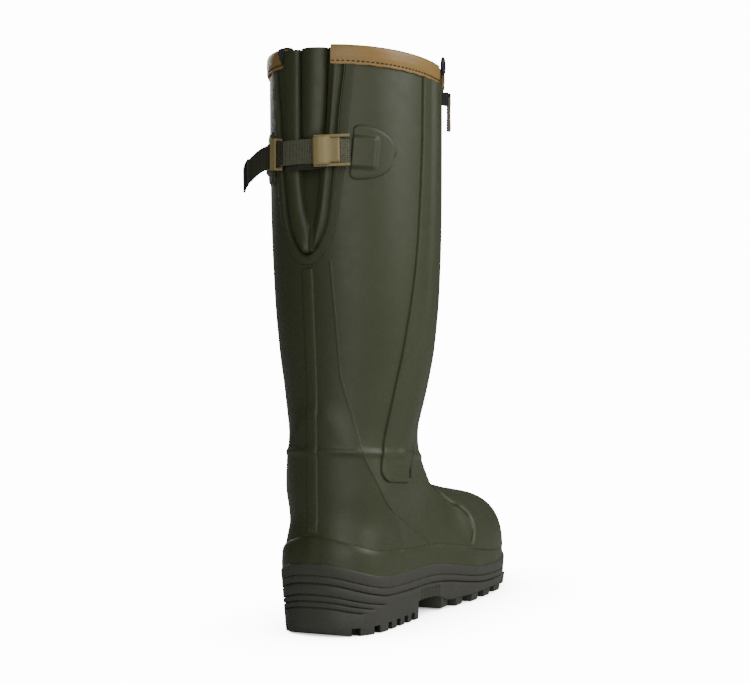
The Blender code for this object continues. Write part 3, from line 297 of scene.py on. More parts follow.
def radial(across, up, half, reach, power):
    """Distance outside a rounded section, measured along the ray from its centre."""
    size = ((np.abs(across) / half) ** power + (np.abs(up) / reach) ** power) ** (1 / power)
    return np.hypot(across, up) * (1 - 1 / np.maximum(size, 1e-6))


def shaft_height(y, z):
    """Height up the shaft in its own tilted levels, read at the back."""
    return z + SHAFT_TILT * (y - TILT_FROM_Y)


def outside(p):
    """How far points lie outside the upper's outer face."""
    x, y, z = p[..., 0], p[..., 1], p[..., 2]
    widest = leg_widest(z)
    reach = np.where(y < widest, widest - leg_back(z), leg_front(z) - widest)
    leg = radial(x, y - widest, leg_half(z), reach, leg_power(z))
    s = along_sole(y)
    middle, half, _ = plan(s, UPPER_INSET)
    base = rim_height(s) + WIDEST_ABOVE_RIM
    toe = rounded((s - SOLE_LENGTH + TOE_TOP_REACH) / TOE_TOP_REACH)
    height = np.maximum((foot_top(s) - base) * toe, THINNEST)
    foot = radial(x - middle, np.maximum(z - base, 0.0), np.maximum(half, THINNEST), height, foot_power(s))
    foot = np.maximum(foot, FOOT_START_SLOPE * (FOOT_START - y))
    foot = np.maximum(foot, y - SOLE_LENGTH + UPPER_INSET)
    soft = BLEND_LOW + (BLEND_HIGH - BLEND_LOW) * smooth((z - BLEND_FROM_Z) / BLEND_OVER_Z)
    near = np.maximum(soft - np.abs(leg - foot), 0.0) / soft
    ridge = RIDGE_RISE * np.exp(-((shaft_height(y, z) - RIDGE_HEIGHT) / RIDGE_WIDTH) ** 2)
    return np.minimum(leg, foot) - near * near * soft / 4 - ridge


def reach_surface(start, direction, limit=150.0, coarse=36, halvings=22):
    """First crossing of the outer face along rays that start inside."""
    start, direction = np.broadcast_arrays(np.asarray(start, float), np.asarray(direction, float))
    direction = direction / np.linalg.norm(direction, axis=-1, keepdims=True)
    low = np.zeros(start.shape[:-1])
    high = np.full(start.shape[:-1], limit)
    found = np.zeros(start.shape[:-1], bool)
    for k in range(1, coarse + 1):
        far = np.full_like(low, limit * k / coarse)
        out = outside(start + far[..., None] * direction) > 0
        high = np.where(out & ~found, far, high)
        low = np.where(found | out, low, far)
        found |= out
    for _ in range(halvings):
        mid = (low + high) / 2
        out = outside(start + mid[..., None] * direction) > 0
        high = np.where(out, mid, high)
        low = np.where(out, low, mid)
    return start + low[..., None] * direction


def facing(p, step=0.05):
    """Outward direction of the outer face."""
    slope = np.stack([outside(p + step * axis) - outside(p - step * axis) for axis in np.eye(3)], -1)
    return slope / np.linalg.norm(slope, axis=-1, keepdims=True)


def shaft_middle(h):
    """Place y and height z of the shaft's middle at a height h up its back."""
    y = (leg_back(h) + leg_front(h)) / 2
    return y, h - SHAFT_TILT * (y - TILT_FROM_Y)


def on_shaft(turn, h):
    """Point on the shaft; turn in degrees from the outer side (0) forwards (90) or back (-90)."""
    turn, h = np.broadcast_arrays(np.radians(turn), np.asarray(h, float))
    y, z = shaft_middle(h)
    toward = np.stack([np.cos(turn), np.sin(turn), -SHAFT_TILT * np.sin(turn)], -1)
    return reach_surface(np.stack([np.zeros_like(y), y, z], -1), toward)


def on_back(x, h):
    """Point on the back of the shaft, x across from its middle."""
    x, h = np.broadcast_arrays(np.asarray(x, float), np.asarray(h, float))
    y, z = shaft_middle(h)
    return reach_surface(np.stack([x, y, z], -1), (0.0, -1.0, SHAFT_TILT))


def on_belt(s, side, above):
    """Point on the foot's side at a height above the sole's rim; side is +1 outer, -1 inner."""
    s, side, above = np.broadcast_arrays(*(np.asarray(value, float) for value in (s, side, above)))
    middle, half, y = plan(s, UPPER_INSET)
    spine = np.clip(y, HEEL_REACH, SOLE_LENGTH - TOE_REACH)
    spine_middle = plan(along_sole(spine), UPPER_INSET)[0]
    z = rim_height(s) + above
    start = np.stack([spine_middle, spine, z], -1)
    return reach_surface(start, np.stack([middle + side * half, y, z], -1) - start)


def evenly(points, count):
    """The same line through a number of points at even lengths."""
    length = np.concatenate([[0], np.cumsum(np.linalg.norm(np.diff(points, axis=0), axis=1))])
    even = np.linspace(0, length[-1], count)
    return np.stack([np.interp(even, length, points[:, k]) for k in range(points.shape[1])], -1)


CUT_BOTTOM = 287.0
CUT_ROUND = 34.0
CUT_CENTRE = -2.5
CUT_HALF = table(
    "h half",
    (287, 15.0), (305, 17.6), (325, 20.0), (347, 22.6), (370, 24.8), (396, 26.8), (425, 30.0), (447, 32.0),
)
cut_half_width = curve(CUT_HALF, "h", "half")
FAN_PIVOT = (215.0, 106.0)
RAY_SHARE = 0.4
SOLE_LEADS_FROM = 90.0
SOLE_LEADS_OVER = 60.0
HALF_COLUMNS = 64


def cut_half(h):
    """Half width of the U cut at a height up the shaft."""
    bottom = rounded(1 - (h - CUT_BOTTOM) / CUT_ROUND, CIRCLE)
    return np.where(h > CUT_BOTTOM, cut_half_width(h) * bottom, 0.0)


def upper_section(start_y, start_z, end_y, end_z, edge_x, on_rim, samples=121):
    """Outer points of one section round the upper, from one side of the rim or cut to the other."""
    back, front = np.array((start_y, start_z)), np.array((end_y, end_z))
    middle = back + RAY_SHARE * (front - back)
    toward = (front - back) / np.linalg.norm(front - back)
    s = along_sole(middle[0])
    sideways = float(smooth((middle[0] - SOLE_LEADS_FROM) / SOLE_LEADS_OVER))
    centre_x = CUT_CENTRE + (float(plan(s, UPPER_INSET)[0]) - CUT_CENTRE) * sideways
    halves = []
    for hand in (1, -1):
        begin = 0.0
        if on_rim:
            rim = reach_surface((centre_x, start_y, start_z), (hand, 0.0, 0.0))
            begin = math.atan2(abs(rim[0] - centre_x), np.linalg.norm(middle - back))
        angle = np.linspace(begin, np.pi, samples)
        rays = np.stack([hand * np.sin(angle), *(-np.cos(angle)[None] * toward[:, None])], -1)
        points = reach_surface(np.array((centre_x, *middle)), rays)
        if on_rim:
            points[0] = rim
        if edge_x > 0:
            off = hand * (points[:, 0] - centre_x)
            keep = np.argmax(off > edge_x)
            share = (edge_x - off[keep - 1]) / (off[keep] - off[keep - 1])
            first = points[keep - 1] + share * (points[keep] - points[keep - 1])
            points = np.vstack([first, points[keep:]])
        halves.append(evenly(points, HALF_COLUMNS + 1))
    return np.vstack([halves[0], halves[1][-2::-1]])


def steps(length, *marks):
    """Even steps of about a length through the marks."""
    runs = []
    for begin, end in zip(marks, marks[1:]):
        points = max(2, int(round(abs(end - begin) / length)) + 1)
        runs.append(np.linspace(begin, end, points)[:-1])
    return np.append(np.concatenate(runs), marks[-1])


ROW_STEP = 4.0
SHAFT_ROW_STEP = 5.0
TOP_ROW_STEP = 7.0
HEEL_ROWS_TOP = 122.0
RIDGE_SPREAD = 2.4
FRONT_ROOM = 30.0
RIM_SINK = 1.5
TOE_ROWS = 29
HEEL_ROWS = 17
RIDGE_ROWS = 13
CUT_ROWS = 17
toe_run = SOLE_LENGTH - TOE_REACH + TOE_REACH * np.sin(np.linspace(0, np.pi / 2, TOE_ROWS))
heel_run = HEEL_REACH * (1 - np.cos(np.linspace(0, np.pi / 2, HEEL_ROWS)))
BELT_STATIONS = np.concatenate([heel_run, steps(ROW_STEP, HEEL_REACH, toe_run[0])[1:-1], toe_run])
ridge_run = RIDGE_HEIGHT + RIDGE_WIDTH * np.linspace(-RIDGE_SPREAD, RIDGE_SPREAD, RIDGE_ROWS)
cut_run = CUT_BOTTOM + CUT_ROUND * (1 - np.cos(np.linspace(0, np.pi / 2, CUT_ROWS)))
rows = []
behind = []
tip_low = float(rim_height(SOLE_LENGTH)) - RIM_SINK
tip_edge = [(float(plan(SOLE_LENGTH)[0]), SOLE_LENGTH - UPPER_INSET, z)
            for z in np.linspace(tip_low, tip_low + RIM_SINK + WIDEST_ABOVE_RIM, HALF_COLUMNS + 1)]
rows.append(np.array(tip_edge + tip_edge[-2::-1]))
behind.append(True)
for s in BELT_STATIONS[-2:0:-1]:
    y = float(plan(s, UPPER_INSET)[2])
    low = float(rim_height(s)) - RIM_SINK
    blunt = s > SOLE_LENGTH - TOE_TOP_REACH / 4
    over = (y, low + 2 * WIDEST_ABOVE_RIM if blunt else float(foot_top(y)))
    rows.append(upper_section(y, low, *(over if y > FAN_PIVOT[0] else FAN_PIVOT), 0.0, True))
    behind.append(True)
for z in steps(ROW_STEP, float(rim_height(0.0)) - RIM_SINK, HEEL_ROWS_TOP):
    rows.append(upper_section(float(leg_back(z)), z, *FAN_PIVOT, 0.0, False))
    behind.append(False)
leg_rows = np.concatenate([ridge_run, steps(SHAFT_ROW_STEP, ridge_run[-1], CUT_BOTTOM)[1:-1], cut_run,
                           steps(TOP_ROW_STEP, CUT_BOTTOM + CUT_ROUND, SHAFT_HEIGHT)[1:]])
for h in leg_rows:
    back, front = float(leg_back(h)), float(leg_front(h)) + FRONT_ROOM
    levels = [h - SHAFT_TILT * (y - TILT_FROM_Y) for y in (back, front)]
    rows.append(upper_section(back, levels[0], front, levels[1], float(cut_half(h)), False))
    behind.append(h > CUT_BOTTOM)
upper_points = np.array(rows)
tip_normals = np.broadcast_to((0.0, 1.0, 0.0), upper_points[:1].shape)
upper_normals = np.concatenate([tip_normals, facing(upper_points[1:])])
WELD = 2e-6
SHARP_ANGLE = math.radians(50)


def grid_faces(rows, columns, first=0, flip=False):
    """Quads over a grid whose corners are numbered row by row."""
    at = first + np.arange(rows * columns).reshape(rows, columns)
    quads = np.stack([at[:-1, :-1], at[:-1, 1:], at[1:, 1:], at[1:, :-1]], -1).reshape(-1, 4)
    return quads[:, ::-1] if flip else quads


def piece_from(name, points, faces, materials, face_slots=None, uv=None):
    """Object of the given name from points in millimetres, doubles closed and faces outward."""
    mesh = bpy.data.meshes.new(name)
    mesh.from_pydata(place(np.asarray(points).reshape(-1, 3)).tolist(), [], [list(face) for face in faces])
    for material in materials:
        mesh.materials.append(material)
    if face_slots is not None:
        mesh.polygons.foreach_set("material_index", np.asarray(face_slots, np.int32))
    if uv is not None:
        layer = mesh.uv_layers.new(name="cloth")
        corner = np.empty(len(mesh.loops), np.int32)
        mesh.loops.foreach_get("vertex_index", corner)
        layer.data.foreach_set("uv", np.asarray(uv, float).reshape(-1, 2)[corner].ravel() * MM)
    welded = bmesh.new()
    welded.from_mesh(mesh)
    bmesh.ops.remove_doubles(welded, verts=welded.verts, dist=WELD)
    bmesh.ops.recalc_face_normals(welded, faces=welded.faces)
    if welded.calc_volume(signed=True) < 0:
        bmesh.ops.reverse_faces(welded, faces=welded.faces)
    welded.to_mesh(mesh)
    welded.free()
    mesh.shade_smooth()
    mesh.set_sharp_from_angle(angle=SHARP_ANGLE)
    piece = bpy.data.objects.new(name, mesh)
    bpy.context.scene.collection.objects.link(piece)
    return piece


def shader_group(name, takes, gives):
    """Empty shader group with named inputs and outputs, and its two end nodes."""
    group = bpy.data.node_groups.new(name, "ShaderNodeTree")
    for label, kind, value in takes:
        socket = group.interface.new_socket(label, in_out="INPUT", socket_type=kind)
        socket.default_value = value
    for label, kind in gives:
        group.interface.new_socket(label, in_out="OUTPUT", socket_type=kind)
    return group, group.nodes.new("NodeGroupInput").outputs, group.nodes.new("NodeGroupOutput").inputs


moulded_skin, skin_in, skin_out = shader_group(
    "moulded_skin",
    [("Colour", "NodeSocketColor", (0.06, 0.065, 0.04, 1.0)),
     ("Pale", "NodeSocketColor", (0.1, 0.1, 0.075, 1.0)),
     ("Roughness", "NodeSocketFloat", 0.5), ("Grain size", "NodeSocketFloat", 1.0)],
    [("Colour", "NodeSocketColor"), ("Roughness", "NodeSocketFloat"), ("Height", "NodeSocketFloat")],
)


def skin_noise(where, scale, detail, roughness=0.5):
    """Noise over the moulded skin."""
    takes = {"Vector": where, "Scale": scale, "Detail": detail, "Roughness": roughness}
    return node(moulded_skin, "ShaderNodeTexNoise", takes).outputs[0]


SMEAR_IN_HEIGHT = 2.5
where = node(moulded_skin, "ShaderNodeTexCoord").outputs["Object"]
grain_takes = {0: where, 1: skin_in["Grain size"]}
grain_at = node(moulded_skin, "ShaderNodeVectorMath", grain_takes, operation="MULTIPLY")
grain = skin_noise(grain_at.outputs[0], 1400.0, 2.0)
cloud = skin_noise(where, 22.0, 5.0, 0.6)
smear = skin_noise(where, 90.0, 4.0, 0.65)
bloom = node(moulded_skin, "ShaderNodeMapRange", {0: cloud, 1: 0.42, 2: 0.75, 3: 0.0, 4: 0.5})
tint_takes = {0: bloom.outputs[0], 6: skin_in["Colour"], 7: skin_in["Pale"]}
tint = node(moulded_skin, "ShaderNodeMix", tint_takes, data_type="RGBA")
patchy = node(moulded_skin, "ShaderNodeMapRange", {0: smear, 1: 0.3, 2: 0.7, 3: -0.05, 4: 0.06})
rough = node(moulded_skin, "ShaderNodeMath", {0: skin_in["Roughness"], 1: patchy.outputs[0]}, operation="ADD")
uneven_takes = {0: smear, 1: SMEAR_IN_HEIGHT, 2: grain}
uneven = node(moulded_skin, "ShaderNodeMath", uneven_takes, operation="MULTIPLY_ADD")
moulded_skin.links.new(tint.outputs[2], skin_out["Colour"])
moulded_skin.links.new(rough.outputs[0], skin_out["Roughness"])
moulded_skin.links.new(uneven.outputs[0], skin_out["Height"])
GRAIN_DEPTH = 0.0004


def skin_material(name, colour, pale, roughness, grain_size=1.0, bump=0.12, sheen=0.0):
    """Moulded finish with a fine grain, faint bloom and uneven gloss."""
    material = bpy.data.materials.new(name)
    material.use_nodes = True
    tree = material.node_tree
    shader = tree.nodes["Principled BSDF"]
    skin = node(tree, "ShaderNodeGroup", node_tree=moulded_skin)
    skin.inputs["Colour"].default_value = (*colour, 1.0)
    skin.inputs["Pale"].default_value = (*pale, 1.0)
    skin.inputs["Roughness"].default_value = roughness
    skin.inputs["Grain size"].default_value = grain_size
    relief = {"Strength": bump, "Distance": GRAIN_DEPTH, "Height": skin.outputs["Height"]}
    bumped = node(tree, "ShaderNodeBump", relief)
    tree.links.new(skin.outputs["Colour"], shader.inputs["Base Color"])
    tree.links.new(skin.outputs["Roughness"], shader.inputs["Roughness"])
    tree.links.new(bumped.outputs[0], shader.inputs["Normal"])
    shader.inputs["Specular IOR Level"].default_value = 0.45
    shader.inputs["Sheen Weight"].default_value = sheen
    return material


def stands_for(piece, node_name, body="boot"):
    """Lets a piece stand for one solid: the solid is hidden and the piece rides on the given body."""
    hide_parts(node_name)
    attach(piece, body)


OLIVE = (0.054, 0.062, 0.028)
OLIVE_PALE = (0.066, 0.074, 0.037)
olive_rubber = skin_material("olive_rubber", OLIVE, OLIVE_PALE, 0.47)
black_lining = skin_material("black_lining", (0.010, 0.010, 0.011), (0.02, 0.02, 0.021), 0.9, 0.5, 0.5, 0.3)

row_count, column_count = upper_points.shape[:2]
inner_points = upper_points - WALL * upper_normals
size = row_count * column_count
faces = [grid_faces(row_count, column_count), grid_faces(row_count, column_count, size, True)]
slots = [np.zeros(len(faces[0])), np.ones(len(faces[1]))]
index = np.arange(size).reshape(row_count, column_count)
edges = [np.stack([index[-1, :-1], index[-1, 1:], size + index[-1, 1:], size + index[-1, :-1]], -1)]
open_rows = [i for i in range(row_count - 1) if behind[i] or behind[i + 1]]
for column in (0, -1):
    a, b = index[open_rows, column], index[np.array(open_rows) + 1, column]
    edges.append(np.stack([a, b, size + b, size + a], -1))
faces += edges
slots += [np.zeros(len(edge)) for edge in edges]
upper = piece_from("boot_upper", np.concatenate([upper_points, inner_points]), np.concatenate(faces),
                   [olive_rubber, black_lining], np.concatenate(slots))
stands_for(upper, "upper")

# Outsole
# One moulded rubber unit: a high side wall with two grooves all round and three short ones at the
# heel, a notched heel block, small upright ribs at the arch and lugs under the forefoot.
HEEL_BREAST = 94.0
LEDGE = 7.4
BED_INSET = 8.2
HEEL_TAPER = 2.2
SIDE_GROOVES = table("below forefoot_below depth opening", (9.2, 7.8, 0.8, 0.55), (15.2, 13.0, 1.5, 0.75))
HEEL_GROOVES = table(
    "share ends_at depth opening", (0.21, 42, 1.3, 0.7), (0.345, 28, 1.3, 0.7), (0.475, 20, 1.3, 0.7),
)
GROOVE_SHAPE = table(
    "across in_by",
    (1.35, 0.0), (0.95, 0.1), (0.6, 0.75), (0.0, 1.0), (-0.6, 0.75), (-0.95, 0.1), (-1.35, 0.0),
)
GROOVE_FORE_OVER = 90.0
GROOVE_FADE = 7.0
GROOVE_SQUEEZE = 1.4
RIM_ROUND = table("above inset", (0.2, 1.6), (0.0, 0.7), (-0.6, 0.15), (-1.4, 0.0))
TREAD_TOP = (1.4, 0.1)
TREAD_ROUND = table("above inset", (0.5, 0.6), (0.0, 1.6))
HEEL_NOTCHES = (11.5, 28.0, 45.0, 59.0, 72.0, 84.0)
NOTCH_WIDTH = 5.5
NOTCH_HEIGHT = 6.0
NOTCH_DEPTH = 9.0
NOTCH_EDGE = 0.5
NOTCH_LIP = (0.6, 0.3)
NOTCH_MOST = 0.35
REAR_NOTCH_SHARE = 0.72
RIB_FROM = 98.0
RIB_TO = 131.0
RIB_PITCH = 4.6
RIB_DEPTH = 1.5
RIB_EASE = 1.5
BREAST_STEP = 0.2
HEEL_STATIONS = 45
HEEL_SIDE_STEP = 2.0
STATIONS_PER_RIB = 8
FORE_SIDE_STEP = 3.0
TOE_STATIONS = 49


def sole_side(s, outer):
    """Heights and insets down the sole's side, from the footbed's edge to the tread."""
    rim, under = float(rim_height(s)), float(under_height(s))
    forward = float(smooth((s - HEEL_BREAST) / GROOVE_FORE_OVER))
    levels = [(float(bed_height(s)), BED_INSET), (rim, LEDGE)]
    levels += [(rim + above, inset) for above, inset in zip(*RIM_ROUND.values())]
    for below, fore, depth, opening in zip(*SIDE_GROOVES.values()):
        middle = rim - below - (fore - below) * forward
        levels += [(middle + a * opening, depth * b) for a, b in zip(*GROOVE_SHAPE.values())]
    lowest = levels[-1][0]
    scale = (lowest - under) / (rim_height(0) - under_height(0))
    for share, ends_at, depth, opening in zip(*HEEL_GROOVES.values()):
        middle = lowest - share * (lowest - under)
        fade = float(smooth((ends_at - s) / GROOVE_FADE))
        opening = opening * min(1.0, scale * GROOVE_SQUEEZE)
        levels += [(middle + a * opening, depth * fade * b) for a, b in zip(*GROOVE_SHAPE.values())]
    notch_top = under + min(NOTCH_HEIGHT, NOTCH_MOST * (lowest - under))
    rear = s < HEEL_REACH / 2
    width = NOTCH_WIDTH * REAR_NOTCH_SHARE if rear else NOTCH_WIDTH
    nearest = min(abs(s - at) for at in (HEEL_NOTCHES[:1] if rear else HEEL_NOTCHES))
    notched = float(smooth((width / 2 + NOTCH_EDGE / 2 - nearest) / NOTCH_EDGE))
    cut = NOTCH_DEPTH * notched * (s < HEEL_BREAST)
    levels += [(notch_top + lip, 0.0) for lip in NOTCH_LIP] + [(notch_top, cut)]
    levels.append((under + TREAD_TOP[0] * scale, TREAD_TOP[1] + cut))
    levels += [(under + above * scale, inset * scale + cut) for above, inset in zip(*TREAD_ROUND.values())]
    ribbed = outer and RIB_FROM < s < RIB_TO
    rib = RIB_DEPTH * (0.5 - 0.5 * math.cos(2 * math.pi * (s - RIB_FROM) / RIB_PITCH)) if ribbed else 0.0
    made = []
    for z, inset in levels:
        taper = HEEL_TAPER * max(0.0, (rim - z) / rim) * (z < rim)
        made.append((z, inset + taper + rib * float(smooth((lowest - RIB_EASE - z) / RIB_EASE))))
    return made


notch_marks = [at + hand * (NOTCH_WIDTH / 2 + nudge) for at in HEEL_NOTCHES for hand in (-1, 1)
               for nudge in (-NOTCH_EDGE / 2, NOTCH_EDGE / 2)]
sole_stations = np.concatenate([
    HEEL_REACH * (1 - np.cos(np.linspace(0, np.pi / 2, HEEL_STATIONS))), notch_marks,
    steps(HEEL_SIDE_STEP, HEEL_REACH, HEEL_BREAST - BREAST_STEP),
    steps(RIB_PITCH / STATIONS_PER_RIB, HEEL_BREAST + BREAST_STEP, RIB_TO),
    steps(FORE_SIDE_STEP, RIB_TO, SOLE_LENGTH - TOE_REACH),
    SOLE_LENGTH - TOE_REACH + TOE_REACH * np.sin(np.linspace(0, np.pi / 2, TOE_STATIONS)),
])
sole_stations = np.unique(np.round(sole_stations, 3))
rings = []
for outer in (True, False):
    ring = []
    for s in sole_stations:
        line = []
        for z, inset in sole_side(s, outer):
            middle, half, y = plan(s, inset)
            line.append((middle + (half if outer else -half), y, z))
        ring.append(line)
    rings.append(ring)
sole_points = np.array(rings)
station_count, level_count = sole_points.shape[1:3]
size = station_count * level_count
at = np.arange(2 * size).reshape(2, station_count, level_count)
faces = [grid_faces(station_count, level_count), grid_faces(station_count, level_count, size, True)]
for level in (0, -1):
    a, b = at[0, :, level], at[1, :, level]
    faces.append(np.stack([a[:-1], a[1:], b[1:], b[:-1]], -1))

LUG_DEPTH = 7.0
LUG_LENGTH = 14.0
LUG_WIDTH = 24.0
LUG_DRAFT = 1.5
LUG_FLANK = 1.3
LUG_EDGE = 0.7
LUG_ROOT = 3.0
LUG_FROM_SIDE = 1.0
LUG_ROWS = (139.0, 160.0, 183.0, 207.0, 232.0, 256.0)
MIDDLE_LUG_ROWS = (150.0, 172.0, 195.0, 219.0, 244.0, 266.0)
lug_spots = []
for y in LUG_ROWS:
    middle, half, _ = plan(along_sole(y, 0.0))
    reach = half - HEEL_TAPER - LUG_WIDTH / 2 - LUG_FROM_SIDE
    lug_spots += [(middle + reach, y), (middle - reach, y)]
lug_spots += [(plan(along_sole(y, 0.0))[0], y) for y in MIDDLE_LUG_ROWS]
lug_points, lug_faces = [], []
for x, y in lug_spots:
    under = float(under_height(along_sole(y, 0.0)))
    low = max(0.0, under - LUG_DEPTH)
    rings_here = []
    for z, shrink in ((under + LUG_ROOT, 0.0), (low + LUG_EDGE, LUG_FLANK), (low, LUG_DRAFT + LUG_EDGE)):
        a, b = LUG_WIDTH / 2 - shrink, LUG_LENGTH / 2 - shrink
        rings_here.append([(x - a, y - b, z), (x + a, y - b, z), (x + a, y + b, z), (x - a, y + b, z)])
    first = len(lug_points)
    lug_points += [corner for ring in rings_here for corner in ring]
    for level in (first, first + 4):
        for k in range(4):
            following = (k + 1) % 4
            lug_faces.append([level + k, level + following, level + 4 + following, level + 4 + k])
    lug_faces += [[level + k for k in range(4)] for level in (first, first + 8)]
sole_grey = skin_material("sole_grey_rubber", (0.064, 0.065, 0.051), (0.079, 0.079, 0.064), 0.56, 0.7, 0.2)
sole_faces = [list(face) for group in faces for face in group]
sole_faces += [[2 * size + corner for corner in face] for face in lug_faces]
sole_corners = np.concatenate([sole_points.reshape(-1, 3), np.array(lug_points)])
outsole = piece_from("boot_outsole", sole_corners, sole_faces, [sole_grey])
stands_for(outsole, "outsole")

# Insole
# A loose footbed of black felt, cut to the bed of the sole unit and laid in from above.
# Little of it shows, down inside the shaft.
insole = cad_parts["insole"]
insole.material_slots[0].material = black_lining

# Rand
# A rubber band moulded round the foot above the sole, with a soft rounded upper edge. It covers
# the joint of upper and sole, and the rib of the back stay runs down over it at the heel.
RAND = table("s height", (0, 19.0), (45, 19.0), (110, 16.0), (180, 17.0), (240, 12.0), (280, 8.5), (304, 6.8))
rand_height = curve(RAND, "s", "height")
RAND_RISE = 1.7
RAND_EDGE = 6.0
RAND_EDGE_POWER = 1.2
RAND_FOOT = 1.0
RAND_SINK = 0.8
STAY_CENTRE = -2.5
STAY_HALF = 5.0
STAY_POWER = 3.0
STAY_ON_RAND = 0.8
OVERLAY_SINK = 0.6


def slab(name, front, back, materials, closed=False, uv=None):
    """Closed plate between two grids of points; the back takes the second material if there is one."""
    rows_here, columns = front.shape[:2]
    size = rows_here * columns
    faces = [grid_faces(rows_here, columns), grid_faces(rows_here, columns, size, True)]
    at = np.arange(size).reshape(rows_here, columns)
    runs = [at[:, 0], at[:, -1]] + ([] if closed else [at[0], at[-1]])
    faces += [np.stack([run[:-1], run[1:], size + run[1:], size + run[:-1]], -1) for run in runs]
    slots = [np.full(len(part), k == 1 and len(materials) > 1) for k, part in enumerate(faces)]
    both = None if uv is None else np.concatenate([uv, uv])
    points = np.concatenate([front, back])
    return piece_from(name, points, np.concatenate(faces), materials, np.concatenate(slots), both)


def raised(name, points, rise, material, sink=OVERLAY_SINK, closed=False, uv=None):
    """Skin at its own rise over the upper, with its edges and its hidden face sunk into the wall."""
    normals = facing(points)
    rise = np.broadcast_to(rise, points.shape[:2])[..., None]
    return slab(name, points + rise * normals, points - sink * normals, [material], closed, uv)


def overlay(name, points, rise, material, node_name, sink=OVERLAY_SINK, closed=False, uv=None):
    """Raised piece that stands for one solid."""
    stands_for(raised(name, points, rise, material, sink, closed, uv), node_name)


round_foot = np.concatenate([sole_stations[::2], sole_stations[-2:0:-2], sole_stations[:1]])
foot_side = np.where(np.arange(len(round_foot)) < len(sole_stations[::2]), 1.0, -1.0)
shares = np.concatenate([np.linspace(0, 0.7, 8), np.linspace(0.75, 1.0, 14)])
tall = rand_height(round_foot)[:, None]
climb = -RAND_FOOT + (tall + RAND_FOOT) * shares
band = on_belt(round_foot[:, None], foot_side[:, None], climb)
to_edge = (tall - climb) / RAND_EDGE
rand_rise = RAND_RISE * rounded(1 - np.clip(to_edge, 0, 1), CIRCLE) ** RAND_EDGE_POWER
stay_line = rounded(np.clip(np.abs(band[..., 0] - STAY_CENTRE) / STAY_HALF, 0, 1), STAY_POWER)
rand_rise = rand_rise + STAY_ON_RAND * stay_line * (band[..., 1] < HEEL_REACH)
overlay("boot_rand", band, rand_rise, olive_rubber, "rand", RAND_SINK, closed=True)

# Toe cap
# A thicker moulded cap over the toe, softly stepped at its rear edge, which bows forward at the
# sides. A second soft line runs over it from the instep out to the corner of the toe.
CAP_CENTRE = (-3.0, 176.0, 48.0)
CAP_LEAN = math.radians(-10)
CAP_RISE = 2.0
CAP_STEP = 3.2
CAP_LOWEST_LIFT = -30.0
CAP_HIGHEST_LIFT = 90.0
CAP_COLUMNS = 121
CAP_TRIAL_ROWS = 70
CAP_ROWS = 64
CAP_ROW_CROWD = 1.2
CAP_UNDER_RAND = 2.5
CAP_EDGE = table(
    "lift turn", (-30, 0.0), (-3, 0.0), (10, 10.5), (21, 14.0), (33, 10.0), (43, 0.0), (62, -4.0), (90, -4.0),
)
CAP_LINE = table(
    "x y z",
    (22.6, 174.0, 91.7), (21.8, 210.0, 85.4), (29.8, 218.0, 80.0), (36.0, 231.6, 71.8), (40.0, 245.7, 59.9),
    (42.0, 256.0, 45.0),
)
CAP_LINE_RISE = 0.55
CAP_LINE_HALF = 1.5
CAP_LINE_POINTS = 160
CAP_EDGE_CROWD = 0.55
cap_edge = curve(CAP_EDGE, "lift", "turn")


def cap_ray(side, lift):
    """Directions from the cap's centre; side runs from -1 at the outer edge to 1 at the inner edge."""
    turn = np.radians(90 + side * (90 - cap_edge(lift)))
    lift = np.radians(lift)
    up = np.array((0.0, math.sin(CAP_LEAN), math.cos(CAP_LEAN)))
    ahead = np.array((0.0, math.cos(CAP_LEAN), -math.sin(CAP_LEAN)))
    across = np.array((1.0, 0.0, 0.0))
    level = np.cos(turn)[..., None] * across + np.sin(turn)[..., None] * ahead
    return np.cos(lift)[..., None] * level + np.sin(lift)[..., None] * up


def path_through(points, count):
    """Smooth path through a few points, at even lengths."""
    points = np.asarray(points, float)
    length = np.concatenate([[0.0], np.cumsum(np.linalg.norm(np.diff(points, axis=0), axis=1))])
    columns = dict(zip("abc", points.T), at=length)
    fine = np.linspace(0.0, length[-1], 8 * count)
    return evenly(np.stack([curve(columns, "at", name)(fine) for name in "abc"], -1), count)


cap_side = np.linspace(-1.0, 1.0, CAP_COLUMNS)
cap_side = ((1 - CAP_EDGE_CROWD) * cap_side + CAP_EDGE_CROWD * cap_side ** 3)[:, None]
lift = np.linspace(CAP_LOWEST_LIFT, CAP_HIGHEST_LIFT, CAP_TRIAL_ROWS)[None, :] + 0 * cap_side
trial = reach_surface(CAP_CENTRE, cap_ray(cap_side, lift))
trial_s = along_sole(trial[..., 1])
clear = trial[..., 2] - rim_height(trial_s) - rand_height(trial_s) + CAP_UNDER_RAND
first = np.argmax(clear > 0, axis=1)
row = np.arange(len(first))
begin = lift[row, first - 1] - clear[row, first - 1] * (lift[row, first] - lift[row, first - 1]) / (
    clear[row, first] - clear[row, first - 1])
cap_share = np.linspace(0.0, 1.0, CAP_ROWS)[None, :] ** CAP_ROW_CROWD
lift = begin[:, None] + (CAP_HIGHEST_LIFT - begin[:, None]) * cap_share
cap_points = reach_surface(CAP_CENTRE, cap_ray(cap_side, lift))
edge_gap = [np.linalg.norm(cap_points - edge, axis=-1) for edge in (cap_points[:1], cap_points[-1:])]
edge_gap = np.minimum(*edge_gap)
cap_rise = CAP_RISE * rounded(1 - np.clip(edge_gap / CAP_STEP, 0, 1), CIRCLE)
cap_line = path_through(np.stack(list(CAP_LINE.values()), -1), CAP_LINE_POINTS)
cap_lines = np.concatenate([cap_line, cap_line * (-1, 1, 1) + (2 * CAP_CENTRE[0], 0.0, 0.0)])
line_gap = np.min(np.linalg.norm(cap_points[:, :, None, :] - cap_lines[None, None], axis=-1), axis=-1)
cap_rise = cap_rise + CAP_LINE_RISE * np.exp(-((line_gap / CAP_LINE_HALF) ** 2)) * (edge_gap > CAP_STEP)
